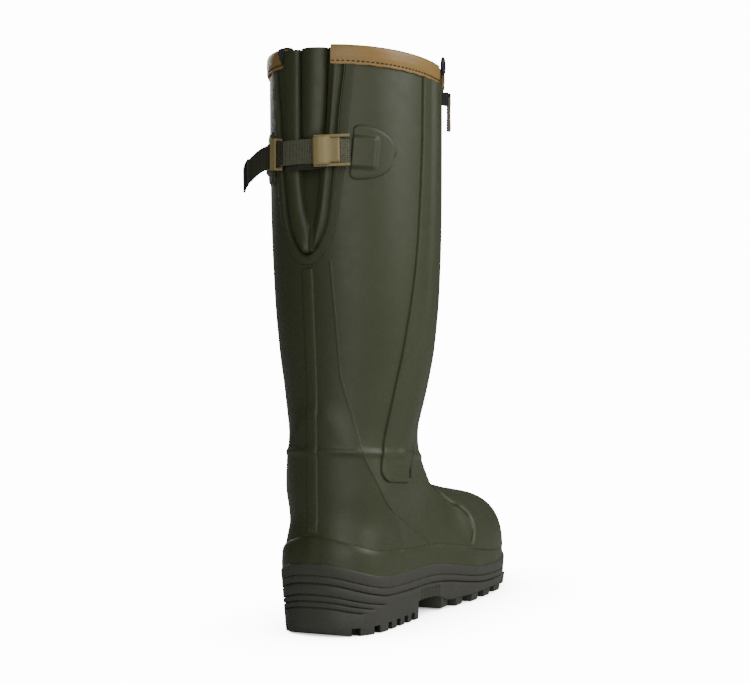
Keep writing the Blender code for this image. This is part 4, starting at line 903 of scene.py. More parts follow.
overlay("boot_toe_cap", cap_points, cap_rise, olive_rubber, "toe_cap")

# Back stay and side seam
# A soft raised rib down the middle of the back, and a fine moulded line that leaves the gusset
# and crosses the ankle to the arch.
STAY_RISE = 1.7
STAY_ROWS = np.linspace(77.0, 277.0, 81)
STAY_FADE_FROM = 76.0
STAY_FADE = 4.0
STAY_COLUMNS = 21
SEAM = table(
    "turn h",
    (-77.3, 283.0), (-73.6, 217.0), (-72.5, 200.0), (-64.4, 167.0), (-55.3, 138.0), (-45.1, 117.6),
    (-34.5, 101.0),
)
SEAM_FOOT = ((41.4, 83.3, 76.1), (43.0, 119.0, 55.4), (43.4, 122.8, 45.0))
SEAM_HALF = 1.3
SEAM_RISE = 0.4
SEAM_EDGE_SINK = 0.05
SEAM_POINTS = 150
SEAM_COLUMNS = 7


def onto_surface(points):
    """Points moved along the surface's own direction until they lie on it."""
    for _ in range(8):
        points = points - outside(points)[..., None] * facing(points)
    return points


def strip(path, half, columns):
    """Grid over the upper along a path, with a number of points across."""
    path = onto_surface(path)
    across = np.cross(facing(path), np.gradient(path, axis=0))
    across /= np.linalg.norm(across, axis=1, keepdims=True)
    shares = half * np.linspace(-1.0, 1.0, columns)
    return onto_surface(path[:, None, :] + shares[None, :, None] * across[:, None, :])


stay_share = np.linspace(-1.0, 1.0, STAY_COLUMNS)
stay_points = on_back(STAY_CENTRE + STAY_HALF * stay_share[None, :], STAY_ROWS[:, None])
stay_ends = smooth((STAY_ROWS - STAY_FADE_FROM) / STAY_FADE)[:, None]
stay_rise = STAY_RISE * rounded(np.abs(stay_share), STAY_POWER)[None, :] * stay_ends
overlay("boot_back_stay", stay_points, stay_rise, olive_rubber, "back_stay")
seam_path = np.vstack([on_shaft(SEAM["turn"], SEAM["h"]), SEAM_FOOT])
seam_points = strip(path_through(seam_path, SEAM_POINTS), SEAM_HALF, SEAM_COLUMNS)
seam_rise = SEAM_RISE * rounded(np.abs(np.linspace(-1, 1, SEAM_COLUMNS)), CIRCLE)[None, :] - SEAM_EDGE_SINK
seam = raised("boot_side_seam", seam_points, seam_rise, olive_rubber)
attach(seam, "boot")

# Gusset tape
# A rubber tape with a dotted face, bonded round the deep U cut at the back of the shaft. It
# covers the edge where the gusset is joined to the wall.
TAPE_WIDTH = 6.5
TAPE_FROM_EDGE = 0.6
TAPE_RISE = 1.0
TAPE_POWER = 5.0
TAPE_ROW_STEP = 2.5
TAPE_ROUND_ROWS = 31
TAPE_COLUMNS = 17
BINDING_HEIGHT = 13.0
BINDING_ROOM = 2.0
UNDER_BINDING = SHAFT_HEIGHT - BINDING_HEIGHT - BINDING_ROOM
TAPE_UNDER_BINDING = 4.0
TAPE_TOP = UNDER_BINDING + TAPE_UNDER_BINDING
TAPE_DOT = 0.9
WEAVE_DEPTH = 0.0005


def cloth_material(name, colour, pale, roughness, along, across, bump, join="MULTIPLY"):
    """Matt cloth or dotted tape: raised places on a lattice with the two pitches, in millimetres."""
    material = skin_material(name, colour, pale, roughness, bump=0.0)
    tree = material.node_tree
    shader = tree.nodes["Principled BSDF"]
    uv = node(tree, "ShaderNodeUVMap", uv_map="cloth")
    parts = node(tree, "ShaderNodeSeparateXYZ", {0: uv.outputs[0]})
    waves = []
    for axis, pitch in (("X", along), ("Y", across)):
        turns = {0: parts.outputs[axis], 1: 2 * math.pi / (pitch * MM)}
        phase = node(tree, "ShaderNodeMath", turns, operation="MULTIPLY")
        waves.append(node(tree, "ShaderNodeMath", {0: phase.outputs[0]}, operation="SINE").outputs[0])
    height = node(tree, "ShaderNodeMath", {0: waves[0], 1: waves[1]}, operation=join)
    relief = {"Strength": bump, "Distance": WEAVE_DEPTH, "Height": height.outputs[0]}
    bumped = node(tree, "ShaderNodeBump", relief)
    tree.links.new(bumped.outputs[0], shader.inputs["Normal"])
    return material


tape_olive = cloth_material("tape_olive", OLIVE, OLIVE_PALE, 0.5, TAPE_DOT, TAPE_DOT, 0.3)
cut_h = np.concatenate([steps(TAPE_ROW_STEP, TAPE_TOP, CUT_BOTTOM + CUT_ROUND)[:-1],
                        CUT_BOTTOM + CUT_ROUND * (1 - np.cos(np.linspace(np.pi / 2, 0.0, TAPE_ROUND_ROWS)))])
tape_edge = np.stack([cut_half(cut_h), cut_h], -1)
tape_edge = np.vstack([tape_edge, tape_edge[-2::-1] * (-1, 1)]) + (CUT_CENTRE, 0.0)
tape_run = np.gradient(tape_edge, axis=0)
tape_away = np.stack([-tape_run[:, 1], tape_run[:, 0]], -1) / np.linalg.norm(tape_run, axis=1)[:, None]
tape_share = np.linspace(0.0, 1.0, TAPE_COLUMNS)
tape_off = TAPE_FROM_EDGE + TAPE_WIDTH * tape_share
tape_flat = tape_edge[:, None, :] + tape_off[None, :, None] * tape_away[:, None, :]
tape_length = np.concatenate([[0.0], np.cumsum(np.linalg.norm(np.diff(tape_edge, axis=0), axis=1))])
tape_uv = np.stack(np.broadcast_arrays(tape_length[:, None], TAPE_WIDTH * tape_share[None, :]), -1)
tape_rise = TAPE_RISE * rounded(np.abs(2 * tape_share - 1), TAPE_POWER)[None, :]
tape_points = on_back(tape_flat[..., 0], tape_flat[..., 1])
overlay("boot_gusset_tape", tape_points, tape_rise, tape_olive, "gusset_tape", uv=tape_uv)

# Gusset
# A soft rubber panel folded like a bellows, which lets the calf of the boot be let out. The folds
# run together in a V at the foot of the cut.
GUSSET_THICKNESS = 1.3
GUSSET_FOOT = 282.0
GUSSET_FINE_TO = 345.0
GUSSET_FINE_STEP = 1.5
GUSSET_ROW_STEP = 4.0
GUSSET_FROM_COLLAR = 0.5
GUSSET_LEAST_HALF = 8.0
GUSSET_OVERLAP = 6.0
GUSSET_EASE = 5.0
GUSSET_SHOWN_BELOW = 1.0
LAST_OVERLAP = 424.0
OVERLAP_EASE = 6.0
TUCK_IN_WALL = 1.5
BEHIND_WALL = 1.6
BEHIND = -WALL - BEHIND_WALL - GUSSET_THICKNESS / 2
BINDING_PATH_OUT = -1.3
GUSSET_LOBES = table(
    "h left right depth",
    (282, 3.0, 3.4, 0.0), (300, 3.0, 3.4, 0.6), (306, 2.0, 4.4, 2.4), (325, -3.4, 8.6, 7.4),
    (350, -6.4, 11.5, 9.6), (395, -6.0, 17.0, 11.0), (447, -6.0, 19.0, 12.0),
)
LOBE_TOP = -0.9
LOBE_BULGE = 1.7
LOBE_TURN = 3.4
LOBE_TURN_RISE = 0.5
SHOULDER = 2.0
SHOULDER_DROP = 0.6
FOLD_LIP = 1.0
FOLD_LIP_OUT = -2.6
EDGE_ROOM = 0.7
EDGE_OUT = -3.0
MIDDLE_BULGE = 3.4
MIDDLE_FROM = 352.0
MIDDLE_OVER = 30.0
MIDDLE_LEFT = (1.8, 3.8)
MIDDLE_RIGHT = (0.8, 2.4)
BENDS_PER_STEP = 7
left_fold = curve(GUSSET_LOBES, "h", "left")
right_fold = curve(GUSSET_LOBES, "h", "right")
fold_depth = curve(GUSSET_LOBES, "h", "depth")


def smooth_run(columns, count):
    """Columns of a section or route of a few rows, read smoothly at even steps through them."""
    at = np.arange(len(next(iter(columns.values()))), dtype=float)
    fine = np.linspace(0.0, at[-1], count)
    return [curve(dict(columns, at=at), "at", name)(fine) for name in columns]


def side_lobe(hand, fold, half, depth, tucked, over):
    """Places across and out of one side lobe, from its end under the wall in to its fold."""
    edge = hand * half
    return [
        (edge + hand * over, tucked), (edge, tucked), (edge - hand * EDGE_ROOM, EDGE_OUT),
        (edge - hand * SHOULDER, LOBE_TOP - SHOULDER_DROP), ((fold + edge) / 2, LOBE_TOP + LOBE_BULGE),
        (fold + hand * LOBE_TURN, LOBE_TOP + LOBE_TURN_RISE), (fold + hand * FOLD_LIP, FOLD_LIP_OUT),
        (fold, -depth),
    ]


gusset_rows = np.concatenate([steps(GUSSET_FINE_STEP, GUSSET_FOOT, GUSSET_FINE_TO),
                              steps(GUSSET_ROW_STEP, GUSSET_FINE_TO, SHAFT_HEIGHT - GUSSET_FROM_COLLAR)[1:]])
gusset_path = []
for h in gusset_rows:
    half = max(float(cut_half(h)), GUSSET_LEAST_HALF)
    left, right, depth = float(left_fold(h)), float(right_fold(h)), float(fold_depth(h))
    shown = float(smooth((h - CUT_BOTTOM + GUSSET_SHOWN_BELOW) / GUSSET_EASE))
    drawn_out = float(smooth((h - MIDDLE_FROM) / MIDDLE_OVER))
    middle = -depth + (depth + LOBE_TOP) * drawn_out
    lip = (middle - depth) / 2
    behind_binding = float(smooth((UNDER_BINDING - h) / GUSSET_EASE))
    tucked = BINDING_PATH_OUT + (BEHIND - BINDING_PATH_OUT) * behind_binding
    overlapped = float(smooth((LAST_OVERLAP + OVERLAP_EASE / 2 - h) / OVERLAP_EASE))
    over = TUCK_IN_WALL + (GUSSET_OVERLAP - TUCK_IN_WALL) * overlapped
    path = side_lobe(-1, left, half, depth, tucked, over)
    path += [(left + MIDDLE_LEFT[0], lip), (left + MIDDLE_LEFT[1], middle),
             ((left + right) / 2, middle + MIDDLE_BULGE * drawn_out),
             (right - MIDDLE_RIGHT[1], middle), (right - MIDDLE_RIGHT[0], lip)]
    path += side_lobe(1, right, half, depth, tucked, over)[::-1]
    across, out = np.array(path).T
    across = np.maximum.accumulate(across)
    out = tucked + (out - tucked) * shown
    bends = smooth_run({"across": across, "out": out}, BENDS_PER_STEP * (len(out) - 1) + 1)
    gusset_path.append(np.stack(bends, -1))
gusset_path = np.array(gusset_path)
run = np.gradient(gusset_path, axis=1)
away = np.stack([-run[..., 1], run[..., 0]], -1)
away /= np.maximum(np.linalg.norm(run, axis=-1, keepdims=True), 1e-6)
skins = []
for offset in (GUSSET_THICKNESS / 2, -GUSSET_THICKNESS / 2):
    moved = gusset_path + offset * away
    base = on_back(CUT_CENTRE + moved[..., 0], gusset_rows[:, None])
    skins.append(base + moved[..., 1:] * facing(base))
gusset = slab("boot_gusset", skins[0], skins[1], [olive_rubber, black_lining])
stands_for(gusset, "gusset")

# Zip placket
# A raised strip that backs the zip on the outer side, with a round welt along its middle. Its
# lower rear corner is rounded, and the welt ends a little above it.
ZIP_LINE = table("h turn", (114, 6.0), (132, 11.0), (160, 21.0), (200, 26.0), (300, 25.0), (447, 21.0))
PLACKET_REAR = table(
    "h turn",
    (114, -43.0), (140, -39.0), (184, -31.0), (223, -25.0), (291, -15.5), (334, -12.5), (384, -10.5),
    (447, -10.0),
)
PLACKET_SECTION = table(
    "share rise welt",
    (0.0, 0.1, 0.0), (0.012, 1.7, 0.0), (0.03, 2.0, 0.0), (0.34, 2.0, 0.0), (0.42, 2.0, 0.5),
    (0.52, 2.0, 1.5), (0.62, 2.0, 2.0), (0.72, 2.0, 1.7), (0.84, 2.0, 1.4), (0.94, 2.0, 1.4),
    (0.98, 2.0, 1.1), (1.0, 1.2, 0.3),
)
PLACKET_FOOT = 117.0
PLACKET_UNDER_BINDING = 1.2
PLACKET_TOP = UNDER_BINDING + PLACKET_UNDER_BINDING
PLACKET_FINE_TO = 160.0
PLACKET_FINE_STEP = 2.0
PLACKET_ROW_STEP = 5.0
PLACKET_CORNER_ROWS = 14
PLACKET_COLUMNS = 61
PLACKET_CORNER = 11.0
PLACKET_CORNER_TURN = 13.0
PLACKET_EDGE_CROWD = 0.35
PLACKET_FOOT_ROUND = 2.0
PLACKET_FOOT_LEAST = 0.1
WELT_FOOT = 128.0
WELT_EASE = 2.5
CHAIN_HALF_TURN = 2.8
PLACKET_TO_CHAIN = 0.6
zip_turn = curve(ZIP_LINE, "h", "turn")
placket_turn = curve(PLACKET_REAR, "h", "turn")
corner_top = PLACKET_FOOT + PLACKET_CORNER
corner_angle = np.linspace(0, np.pi / 2, PLACKET_CORNER_ROWS)
placket_h = np.concatenate([PLACKET_FOOT + PLACKET_CORNER * (1 - np.cos(corner_angle)),
                            steps(PLACKET_FINE_STEP, corner_top, PLACKET_FINE_TO)[1:],
                            steps(PLACKET_ROW_STEP, PLACKET_FINE_TO, PLACKET_TOP)[1:]])
share = np.linspace(0.0, 1.0, PLACKET_COLUMNS)
share = 0.5 - 0.5 * np.cos(np.pi * share) * (1 - PLACKET_EDGE_CROWD * np.sin(np.pi * share) ** 2)
corner = PLACKET_CORNER_TURN * (1 - rounded((corner_top - placket_h) / PLACKET_CORNER, CIRCLE))
rear = (placket_turn(placket_h) + corner)[:, None]
fore = zip_turn(placket_h)[:, None] - CHAIN_HALF_TURN - PLACKET_TO_CHAIN
placket_points = on_shaft(rear + (fore - rear) * share[None, :], placket_h[:, None])
welt = curve(PLACKET_SECTION, "share", "welt")(share)[None, :]
welt = smooth((placket_h - WELT_FOOT) / WELT_EASE)[:, None] * welt
foot_edge = rounded(1 - np.clip((placket_h - PLACKET_FOOT) / PLACKET_FOOT_ROUND, 0, 1), CIRCLE)[:, None]
foot_edge = PLACKET_FOOT_LEAST + (1 - PLACKET_FOOT_LEAST) * foot_edge
placket_rise = curve(PLACKET_SECTION, "share", "rise")(share)[None, :] * foot_edge + welt
overlay("boot_zip_placket", placket_points, placket_rise, olive_rubber, "zip_placket")

# Zip chain
# Closed black moulded teeth on a black tape, let in beside the placket. The teeth are small blocks
# set at an even pitch along the zip's line.
CHAIN_FOOT = 122.0
CHAIN_RISE = 1.1
CHAIN_POWER = 4.0
CHAIN_ROW_STEP = 3.0
CHAIN_COLUMNS = 9
TOOTH_PITCH = 2.4
TOOTH_SIZE = (1.5, 4.4, 1.2)
black_rubber = skin_material("black_rubber", (0.012, 0.012, 0.012), (0.022, 0.022, 0.022), 0.55, 1.0, 0.2)


def row_of_pieces():
    """Geometry group that sets small blocks along a path, upright on its facing directions."""
    tree = bpy.data.node_groups.new("row_of_pieces", "GeometryNodeTree")
    inputs = {"Path": "Geometry", "Pitch": "Float", "Size": "Vector", "Material": "Material"}
    for label, kind in inputs.items():
        tree.interface.new_socket(label, in_out="INPUT", socket_type="NodeSocket" + kind)
    tree.interface.new_socket("Pieces", in_out="OUTPUT", socket_type="NodeSocketGeometry")
    takes = tree.nodes.new("NodeGroupInput").outputs
    gives = tree.nodes.new("NodeGroupOutput").inputs
    path = node(tree, "GeometryNodeMeshToCurve", {0: takes["Path"]})
    run = {"Curve": path.outputs[0], "Length": takes["Pitch"]}
    spots = node(tree, "GeometryNodeCurveToPoints", run, mode="LENGTH")
    facing_out = node(tree, "GeometryNodeInputNamedAttribute", {"Name": "facing"}, data_type="FLOAT_VECTOR")
    along = node(tree, "FunctionNodeAlignRotationToVector", {"Vector": spots.outputs["Tangent"]}, axis="X")
    upright = node(tree, "FunctionNodeAlignRotationToVector",
                   {"Rotation": along.outputs[0], "Vector": facing_out.outputs[0]}, axis="Z", pivot_axis="X")
    block = node(tree, "GeometryNodeMeshCube", {"Size": takes["Size"]})
    set_on = node(tree, "GeometryNodeInstanceOnPoints",
                  {"Points": spots.outputs[0], "Instance": block.outputs[0], "Rotation": upright.outputs[0]})
    real = node(tree, "GeometryNodeRealizeInstances", {0: set_on.outputs[0]})
    painted = node(tree, "GeometryNodeSetMaterial", {0: real.outputs[0], "Material": takes["Material"]})
    tree.links.new(painted.outputs[0], gives[0])
    return tree


PIECE_ROW = row_of_pieces()


def small_pieces(name, points, out, pitch, size, material):
    """Row of small blocks along points on the surface, at a distance out from it."""
    directions = facing(points)
    mesh = bpy.data.meshes.new(name + "_path")
    links = [(k, k + 1) for k in range(len(points) - 1)]
    mesh.from_pydata(place(points + out * directions).tolist(), links, [])
    mesh.attributes.new("facing", "FLOAT_VECTOR", "POINT").data.foreach_set("vector", directions.ravel())
    carrier = bpy.data.objects.new(name + "_path", mesh)
    bpy.context.scene.collection.objects.link(carrier)
    change = carrier.modifiers.new("row", "NODES")
    change.node_group = PIECE_ROW
    keys = {item.name: item.identifier for item in PIECE_ROW.interface.items_tree if item.in_out == "INPUT"}
    change[keys["Pitch"]] = pitch * MM
    change[keys["Size"]] = [value * MM for value in size]
    change[keys["Material"]] = material
    ready = carrier.evaluated_get(bpy.context.evaluated_depsgraph_get())
    made = bpy.data.meshes.new_from_object(ready)
    made.name = name
    bpy.data.objects.remove(carrier)
    piece = bpy.data.objects.new(name, made)
    bpy.context.scene.collection.objects.link(piece)
    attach(piece, "boot")
    return piece


chain_h = steps(CHAIN_ROW_STEP, CHAIN_FOOT, UNDER_BINDING)
chain_share = np.linspace(-1.0, 1.0, CHAIN_COLUMNS)
chain_points = on_shaft(zip_turn(chain_h)[:, None] + CHAIN_HALF_TURN * chain_share[None, :], chain_h[:, None])
chain_rise = CHAIN_RISE * rounded(np.abs(chain_share), CHAIN_POWER)[None, :]
overlay("boot_zip_chain", chain_points, chain_rise, black_rubber, "zip_chain")
chain_line = on_shaft(zip_turn(chain_h), chain_h)
teeth = small_pieces("boot_zip_teeth", chain_line, CHAIN_RISE, TOOTH_PITCH, TOOTH_SIZE, black_rubber)

# Zip slider, pull tab and top loop
# A dark slider near the top of the zip, with a long flat metal tab that hangs from its ears and is
# drilled twice, and a small black rubber loop over the zip's end.
tab_metal = skin_material("tab_metal", (0.16, 0.135, 0.11), (0.22, 0.19, 0.16), 0.4, 1.0, 0.1)
slider_black = skin_material("slider_black", (0.020, 0.019, 0.018), (0.035, 0.033, 0.031), 0.4, 1.0, 0.1)


def as_solid(name, node_name, material, body="boot"):
    """Copy of one small hard solid, with its own square edges, in a finish of its own."""
    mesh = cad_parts[node_name].data.copy()
    mesh.name = name
    mesh.materials.clear()
    mesh.materials.append(material)
    piece = bpy.data.objects.new(name, mesh)
    bpy.context.scene.collection.objects.link(piece)
    stands_for(piece, node_name, body)


as_solid("boot_zip_slider", "zip_slider", slider_black)
as_solid("boot_zip_pull_tab", "zip_pull_tab", tab_metal, "zip_pull")


class Spot:
    """A place on the shaft with its own directions: across (forwards), up and out."""

    def __init__(self, turn, h):
        self.spot = on_shaft(turn, h)
        self.out = facing(self.spot)
        self.across = np.cross((0.0, 0.0, 1.0), self.out)
        self.across /= np.linalg.norm(self.across)
        self.up = np.cross(self.out, self.across)

    def at(self, across, up, out):
        """Points at distances from the place along its three directions."""
        across, up, out = (np.asarray(value, float)[..., None] for value in (across, up, out))
        return self.spot + across * self.across + up * self.up + out * self.out


LOOP_HEIGHT = 446.0
LOOP_RADIUS = 4.0
LOOP_BAR = 1.3
LOOP_OUT = 3.0
LOOP_STRETCH = 1.4
LOOP_STEPS = 49
BAR_STEPS = 17
loop_spot = Spot(float(zip_turn(LOOP_HEIGHT)), LOOP_HEIGHT)
round_loop = np.linspace(0, 2 * np.pi, LOOP_STEPS)[:, None] + np.zeros(BAR_STEPS)
round_bar = np.linspace(0, 2 * np.pi, BAR_STEPS) + np.zeros((LOOP_STEPS, 1))
loop_size = LOOP_RADIUS + LOOP_BAR * np.cos(round_bar)
loop_points = loop_spot.at(loop_size * np.cos(round_loop), LOOP_STRETCH * loop_size * np.sin(round_loop),
                           LOOP_OUT + LOOP_BAR * np.sin(round_bar))
loop = piece_from("boot_zip_top_loop", loop_points, grid_faces(LOOP_STEPS, BAR_STEPS), [black_rubber])
stands_for(loop, "zip_top_loop")

# Collar binding
# Tan leather folded over the collar and stitched through near its lower edge, in two runs that
# leave the gusset and the zip free. The black lining shows at the folded end on the inner side.
BINDING_SECTION = table(
    "out above",
    (0.0, -13.0), (0.9, -13.3), (1.5, -12.6), (1.6, -10.5), (2.2, -6.5), (2.2, -2.5), (1.8, 0.2), (1.1, 1.4),
    (-0.4, 1.8), (-2.4, 1.8), (-5.2, 1.6), (-6.3, 0.9), (-6.6, -0.6), (-6.5, -9.0), (-6.2, -10.0),
    (-5.2, -9.8), (-5.0, -4.0), (-4.6, 0.2), (-0.2, 0.2), (0.1, -4.0), (0.0, -13.0),
)
BINDING_RUNS = {"binding_outer": (-76.0, 15.5), "binding_front": (28.0, 253.0)}
BINDING_TURN_STEP = 1.5
BINDING_STEPS = 81
BINDING_WAVE = 0.2
BINDING_WAVES = table("share rate phase", (1.0, 0.55, 0.0), (0.6, 1.37, 1.0))
WAVE_OUT = 0.25
END_LIFT = 0.4
END_LIFT_TURN = 2.5
STITCH_ABOVE = -10.8
STITCH_OUT = 1.72
STITCH_FROM_END = 1.2
STITCH_LINE_POINTS = 120
STITCH_PITCH = 3.7
STITCH_SIZE = (2.2, 0.8, 0.7)
tan_leather = skin_material("tan_leather", (0.34, 0.205, 0.06), (0.42, 0.265, 0.09), 0.4, 0.45, 0.3)
dark_thread = skin_material("dark_thread", (0.030, 0.019, 0.010), (0.05, 0.034, 0.02), 0.8)


def on_collar(turn, out, above):
    """Point at the collar, a distance out of its outer face and above its edge."""
    points = on_shaft(turn, SHAFT_HEIGHT + np.minimum(above, 0.0))
    lean = facing(points) * (1.0, 1.0, 0.0)
    lean /= np.linalg.norm(lean, axis=-1, keepdims=True)
    return points + np.asarray(out)[..., None] * lean + np.maximum(above, 0.0)[..., None] * (0.0, 0.0, 1.0)


section_out, section_above = smooth_run(BINDING_SECTION, BINDING_STEPS)
for name, (begin, end) in BINDING_RUNS.items():
    turns = np.linspace(begin, end, 1 + round((end - begin) / BINDING_TURN_STEP))[:, None]
    hang = np.clip(-section_above / BINDING_HEIGHT, 0, 1)[None, :]
    waves = [share * np.sin(rate * turns + phase) for share, rate, phase in zip(*BINDING_WAVES.values())]
    wave = BINDING_WAVE * hang * sum(waves)
    lift_off = END_LIFT * hang * np.exp(-((turns - begin) / END_LIFT_TURN) ** 2)
    wavy_out = section_out + WAVE_OUT * wave * (section_out > 0) + lift_off
    collar = on_collar(turns + 0 * section_out, wavy_out, section_above + wave)
    count = collar.shape[:2]
    flat = np.arange(count[0] * count[1]).reshape(count)
    caps = [flat[0, :-1].tolist(), flat[-1, :-1].tolist()]
    binding = piece_from("boot_" + name, collar, [*grid_faces(*count).tolist(), *caps], [tan_leather])
    stands_for(binding, name)
    seam_turns = np.linspace(begin + STITCH_FROM_END, end - STITCH_FROM_END, STITCH_LINE_POINTS)
    row = on_collar(seam_turns, 0 * seam_turns, STITCH_ABOVE + 0 * seam_turns)
    stitches = small_pieces("boot_stitches_" + name, row, STITCH_OUT, STITCH_PITCH, STITCH_SIZE, dark_thread)

LIP_SECTION = table(
    "out above", (2.3, -11.0), (2.7, -6.0), (2.6, -1.0), (1.6, 2.1), (-2.0, 2.5), (-6.6, 1.8), (-7.2, -2.0),
)
LIP_EDGE_TURN = BINDING_RUNS["binding_front"][1]
LIP_BACK_TURN = 3.6
LIP_PAST_TURN = 2.0
LIP_THICKNESS = 0.9
LIP_FOOT = -12.5
LIP_TAPER = 13.0
LIP_CREST = 1.5
LIP_STEPS = 41
LIP_ROWS = 13
lip_out, lip_above = (column[None, :] for column in smooth_run(LIP_SECTION, LIP_STEPS))
narrow = smooth((lip_above - LIP_FOOT) / LIP_TAPER)
lip_reach = (LIP_BACK_TURN + LIP_PAST_TURN) * narrow
lip_turns = LIP_EDGE_TURN - LIP_BACK_TURN * narrow + lip_reach * np.linspace(0, 1, LIP_ROWS)[:, None]
on_crest = lip_above >= LIP_CREST
inward = LIP_THICKNESS * np.where(lip_out > 0, 1.0, -1.0) * ~on_crest
downward = LIP_THICKNESS * on_crest
lip_front = on_collar(lip_turns, lip_out + 0 * lip_turns, lip_above + 0 * lip_turns)
lip_back = on_collar(lip_turns, lip_out - inward + 0 * lip_turns, lip_above - downward + 0 * lip_turns)
lip = slab("boot_lining_lip", lip_front, lip_back, [black_lining])
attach(lip, "boot")

# Strap patches
# D-shaped rubber patches moulded on the shaft beside the gusset. Each has a raised pocket that
# takes the end of the strap.
STRAP_HEIGHT = 365.0
PATCH_HALF = 21.0
PATCH_LENGTH_TURN = 28.0
PATCH_RISE = 1.4
PATCH_EDGE_RISE = 0.05
PATCH_SIDE_ROUND = 3.4
PATCH_TIP_STEEP = 9.0
PATCH_END_STEEP = 30.0
PATCH_END_SHARE = 0.8
PATCH_CORNER = 0.16
PATCH_CROWD = 0.65
PATCH_STEPS = 57
POCKET_RISE = 3.6
POCKET_END = 0.58
POCKET_END_EASE = 0.13
POCKET_HALF = 0.56
POCKET_FLANK = 3.6
PATCH_LEAN_TURN = 1.2
PATCHES = {"strap_patch_outer": (-64.6, 1), "strap_patch_inner": (-120.0, -1)}
share = np.linspace(0.0, 1.0, PATCH_STEPS)[:, None]
share = (1 - PATCH_CROWD) * share + PATCH_CROWD * (0.5 - 0.5 * np.cos(np.pi * share))
band = np.linspace(-1.0, 1.0, PATCH_STEPS)[None, :]
patch_end = PATCH_END_SHARE + (1 - PATCH_END_SHARE) * rounded(1 - share / PATCH_CORNER, CIRCLE)
patch_half = PATCH_HALF * rounded(share) * patch_end
in_pocket = smooth((POCKET_HALF * PATCH_HALF - np.abs(band * patch_half)) / POCKET_FLANK + 0.5)
in_pocket = in_pocket * smooth((POCKET_END - share) / POCKET_END_EASE)
from_edge = np.minimum((1 - np.abs(band)) * patch_half / PATCH_SIDE_ROUND, (1 - share) * PATCH_TIP_STEEP)
from_edge = np.minimum(from_edge, share * PATCH_END_STEEP)
patch_rise = PATCH_EDGE_RISE + PATCH_RISE * rounded(1 - np.clip(from_edge, 0, 1), CIRCLE)
patch_rise = patch_rise + (POCKET_RISE - PATCH_RISE) * in_pocket
for name, (edge_turn, away_from) in PATCHES.items():
    turns = edge_turn + away_from * (PATCH_LENGTH_TURN * share + PATCH_LEAN_TURN * band)
    points = on_shaft(turns, STRAP_HEIGHT + band * patch_half)
    overlay("boot_" + name, points, patch_rise, olive_rubber, name)

# Strap
# Woven polyester webbing that draws the gusset in: one main layer, a second layer behind it and
# a free tail with a black moulded tip. The under layer and the tail take a darker copy of the
# webbing, as painted shade.
STRAP_HALF = 9.2
WEB_THICKNESS = 1.4
WEB_RIB = 1.7
WEB_PICK = 1.3
WEB_RELIEF = 0.75
WEB_EDGE = 0.35
WEB_EDGE_POWER = 8.0
WEB_ROUGHNESS = 0.8
WEB_STEPS = 16
WEB_COLUMNS = 21
TIP_EXTRA = 0.6
STRAP_OUT = 3.6
STRAP_ROUTES = {
    "strap_webbing": table(
        "turn out h",
        (-65.3, 1.9, STRAP_HEIGHT), (-69.0, 2.8, STRAP_HEIGHT), (-74.0, STRAP_OUT, STRAP_HEIGHT),
        (-90.0, STRAP_OUT, STRAP_HEIGHT), (-114.0, STRAP_OUT, STRAP_HEIGHT), (-117.0, 2.8, STRAP_HEIGHT),
        (-119.3, 1.9, STRAP_HEIGHT),
    ),
    "strap_under_layer": table("turn out h", (-80.0, 1.8, 361), (-90.0, 1.8, 360.5), (-101.5, 1.8, 361)),
    "strap_tail": table(
        "turn out h", (-104.5, 5.5, 365.5), (-113.0, 5.6, 365), (-121.0, 10.5, 362), (-128.0, 16.5, 356),
    ),
    "strap_tail_tip": table("turn out h", (-128.4, 17.1, 355.6), (-131.0, 18.6, 353), (-133.5, 19.5, 350)),
}
WEB_WEAVE = (WEB_ROUGHNESS, WEB_PICK, WEB_RIB, WEB_RELIEF, "ADD")
web_olive = cloth_material("web_olive", (0.16, 0.163, 0.106), (0.205, 0.209, 0.142), *WEB_WEAVE)
# Darker copy of the webbing: painted shade on the under layer and the tail.
web_painted_shade = cloth_material("web_painted_shade", (0.05, 0.052, 0.03), (0.075, 0.077, 0.048), *WEB_WEAVE)
WEB_FINISH = {"strap_under_layer": web_painted_shade, "strap_tail": web_painted_shade, "strap_tail_tip": black_rubber}
for name, route in STRAP_ROUTES.items():
    extra = TIP_EXTRA if name == "strap_tail_tip" else 0.0
    half, thick = STRAP_HALF + extra, WEB_THICKNESS + extra
    web_rows = WEB_STEPS * (len(route["turn"]) - 1) + 1
    turn, out, h = (column[:, None] for column in smooth_run(route, web_rows))
    band = np.linspace(-1.0, 1.0, WEB_COLUMNS)[None, :]
    base = on_shaft(turn + 0 * band, h + half * band)
    edge = WEB_EDGE * (1 - rounded(np.abs(band), WEB_EDGE_POWER))
    lean = facing(base)
    low = base + (out + edge)[..., None] * lean
    high = base + (out + thick - edge)[..., None] * lean
    pieces_of_length = np.linalg.norm(np.diff(base[:, WEB_COLUMNS // 2], axis=0), axis=1)
    along = np.concatenate([[0.0], np.cumsum(pieces_of_length)])[:, None]
    uv = np.stack(np.broadcast_arrays(along, half * band), -1)
    webbing = slab("boot_" + name, high, low, [WEB_FINISH.get(name, web_olive)], uv=uv)
    stands_for(webbing, name)

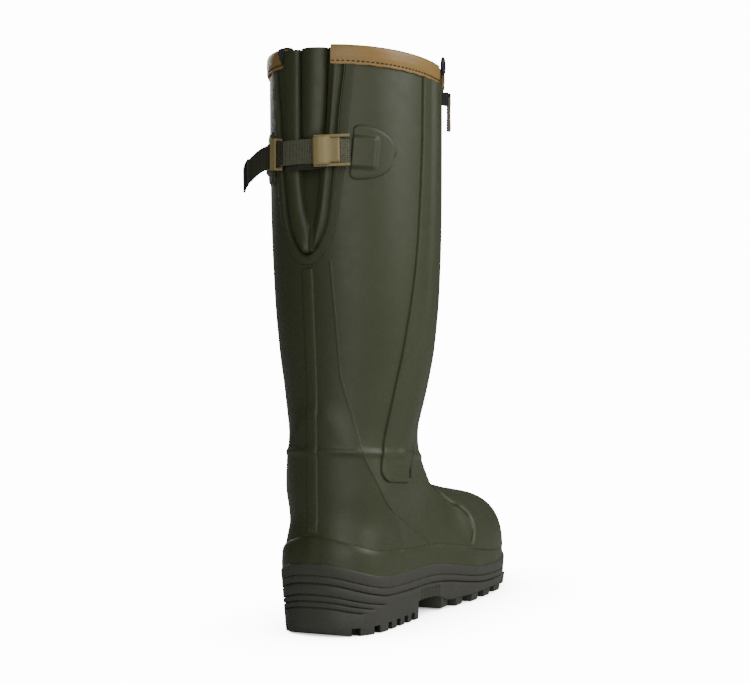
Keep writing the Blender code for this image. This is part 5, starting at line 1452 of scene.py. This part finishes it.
# Buckle and keeper
# Tan moulded plastic: a rounded cam plate over a thin open frame, and a plain keeper round the
# strap beside it.
BUCKLE_TURN = -77.0
FRAME_OVER_STRAP = 0.7
FRAME_THICKNESS = 1.8
PLATE_OVER_FRAME = 0.4
PLATE_OUT = STRAP_OUT + WEB_THICKNESS + FRAME_OVER_STRAP + FRAME_THICKNESS + PLATE_OVER_FRAME
PLATE_HALF = 11.0
PLATE_WAIST = 9.2
WAIST_FROM = -0.5
WAIST_OVER = 4.0
PLATE_CORNER = 1.6
CORNER_FROM = -8.6
CORNER_OVER = 2.4
PLATE_EDGE = 2.2
PLATE_EDGE_SHARE = 0.25
PLATE_ROWS = 61
PLATE_COLUMNS = 49
PLATE_SECTION = table(
    "across rise",
    (-11.0, 0.6), (-10.4, 1.9), (-9.0, 3.0), (-5.5, 3.9), (-2.0, 3.7), (1.0, 2.7), (4.0, 2.4), (9.0, 2.6),
    (9.6, 2.2),
)
tan_plastic = skin_material("tan_plastic", (0.36, 0.285, 0.12), (0.40, 0.325, 0.15), 0.38, 1.0, 0.08)
as_solid("boot_buckle_frame", "buckle_frame", tan_plastic)
as_solid("boot_strap_keeper", "strap_keeper", tan_plastic)
buckle_spot = Spot(BUCKLE_TURN, STRAP_HEIGHT)
plate_across = np.linspace(*PLATE_SECTION["across"][[0, -1]], PLATE_ROWS)[:, None]
plate_band = np.linspace(-1.0, 1.0, PLATE_COLUMNS)[None, :]
plate_half = PLATE_HALF - (PLATE_HALF - PLATE_WAIST) * smooth((plate_across - WAIST_FROM) / WAIST_OVER)
plate_half = plate_half - PLATE_CORNER * (1 - rounded((CORNER_FROM - plate_across) / CORNER_OVER, CIRCLE))
plate_edge = np.clip((1 - np.abs(plate_band)) * plate_half / PLATE_EDGE, 0, 1)
plate_edge = PLATE_EDGE_SHARE + (1 - PLATE_EDGE_SHARE) * rounded(1 - plate_edge, CIRCLE)
plate_rise = curve(PLATE_SECTION, "across", "rise")(plate_across) * plate_edge
plate_up = plate_band * plate_half
plate_top = buckle_spot.at(plate_across + 0 * plate_up, plate_up, PLATE_OUT + plate_rise)
plate_under = buckle_spot.at(plate_across + 0 * plate_up, plate_up, PLATE_OUT + 0 * plate_up)
plate = slab("boot_buckle_plate", plate_top, plate_under, [tan_plastic])
stands_for(plate, "buckle_plate")
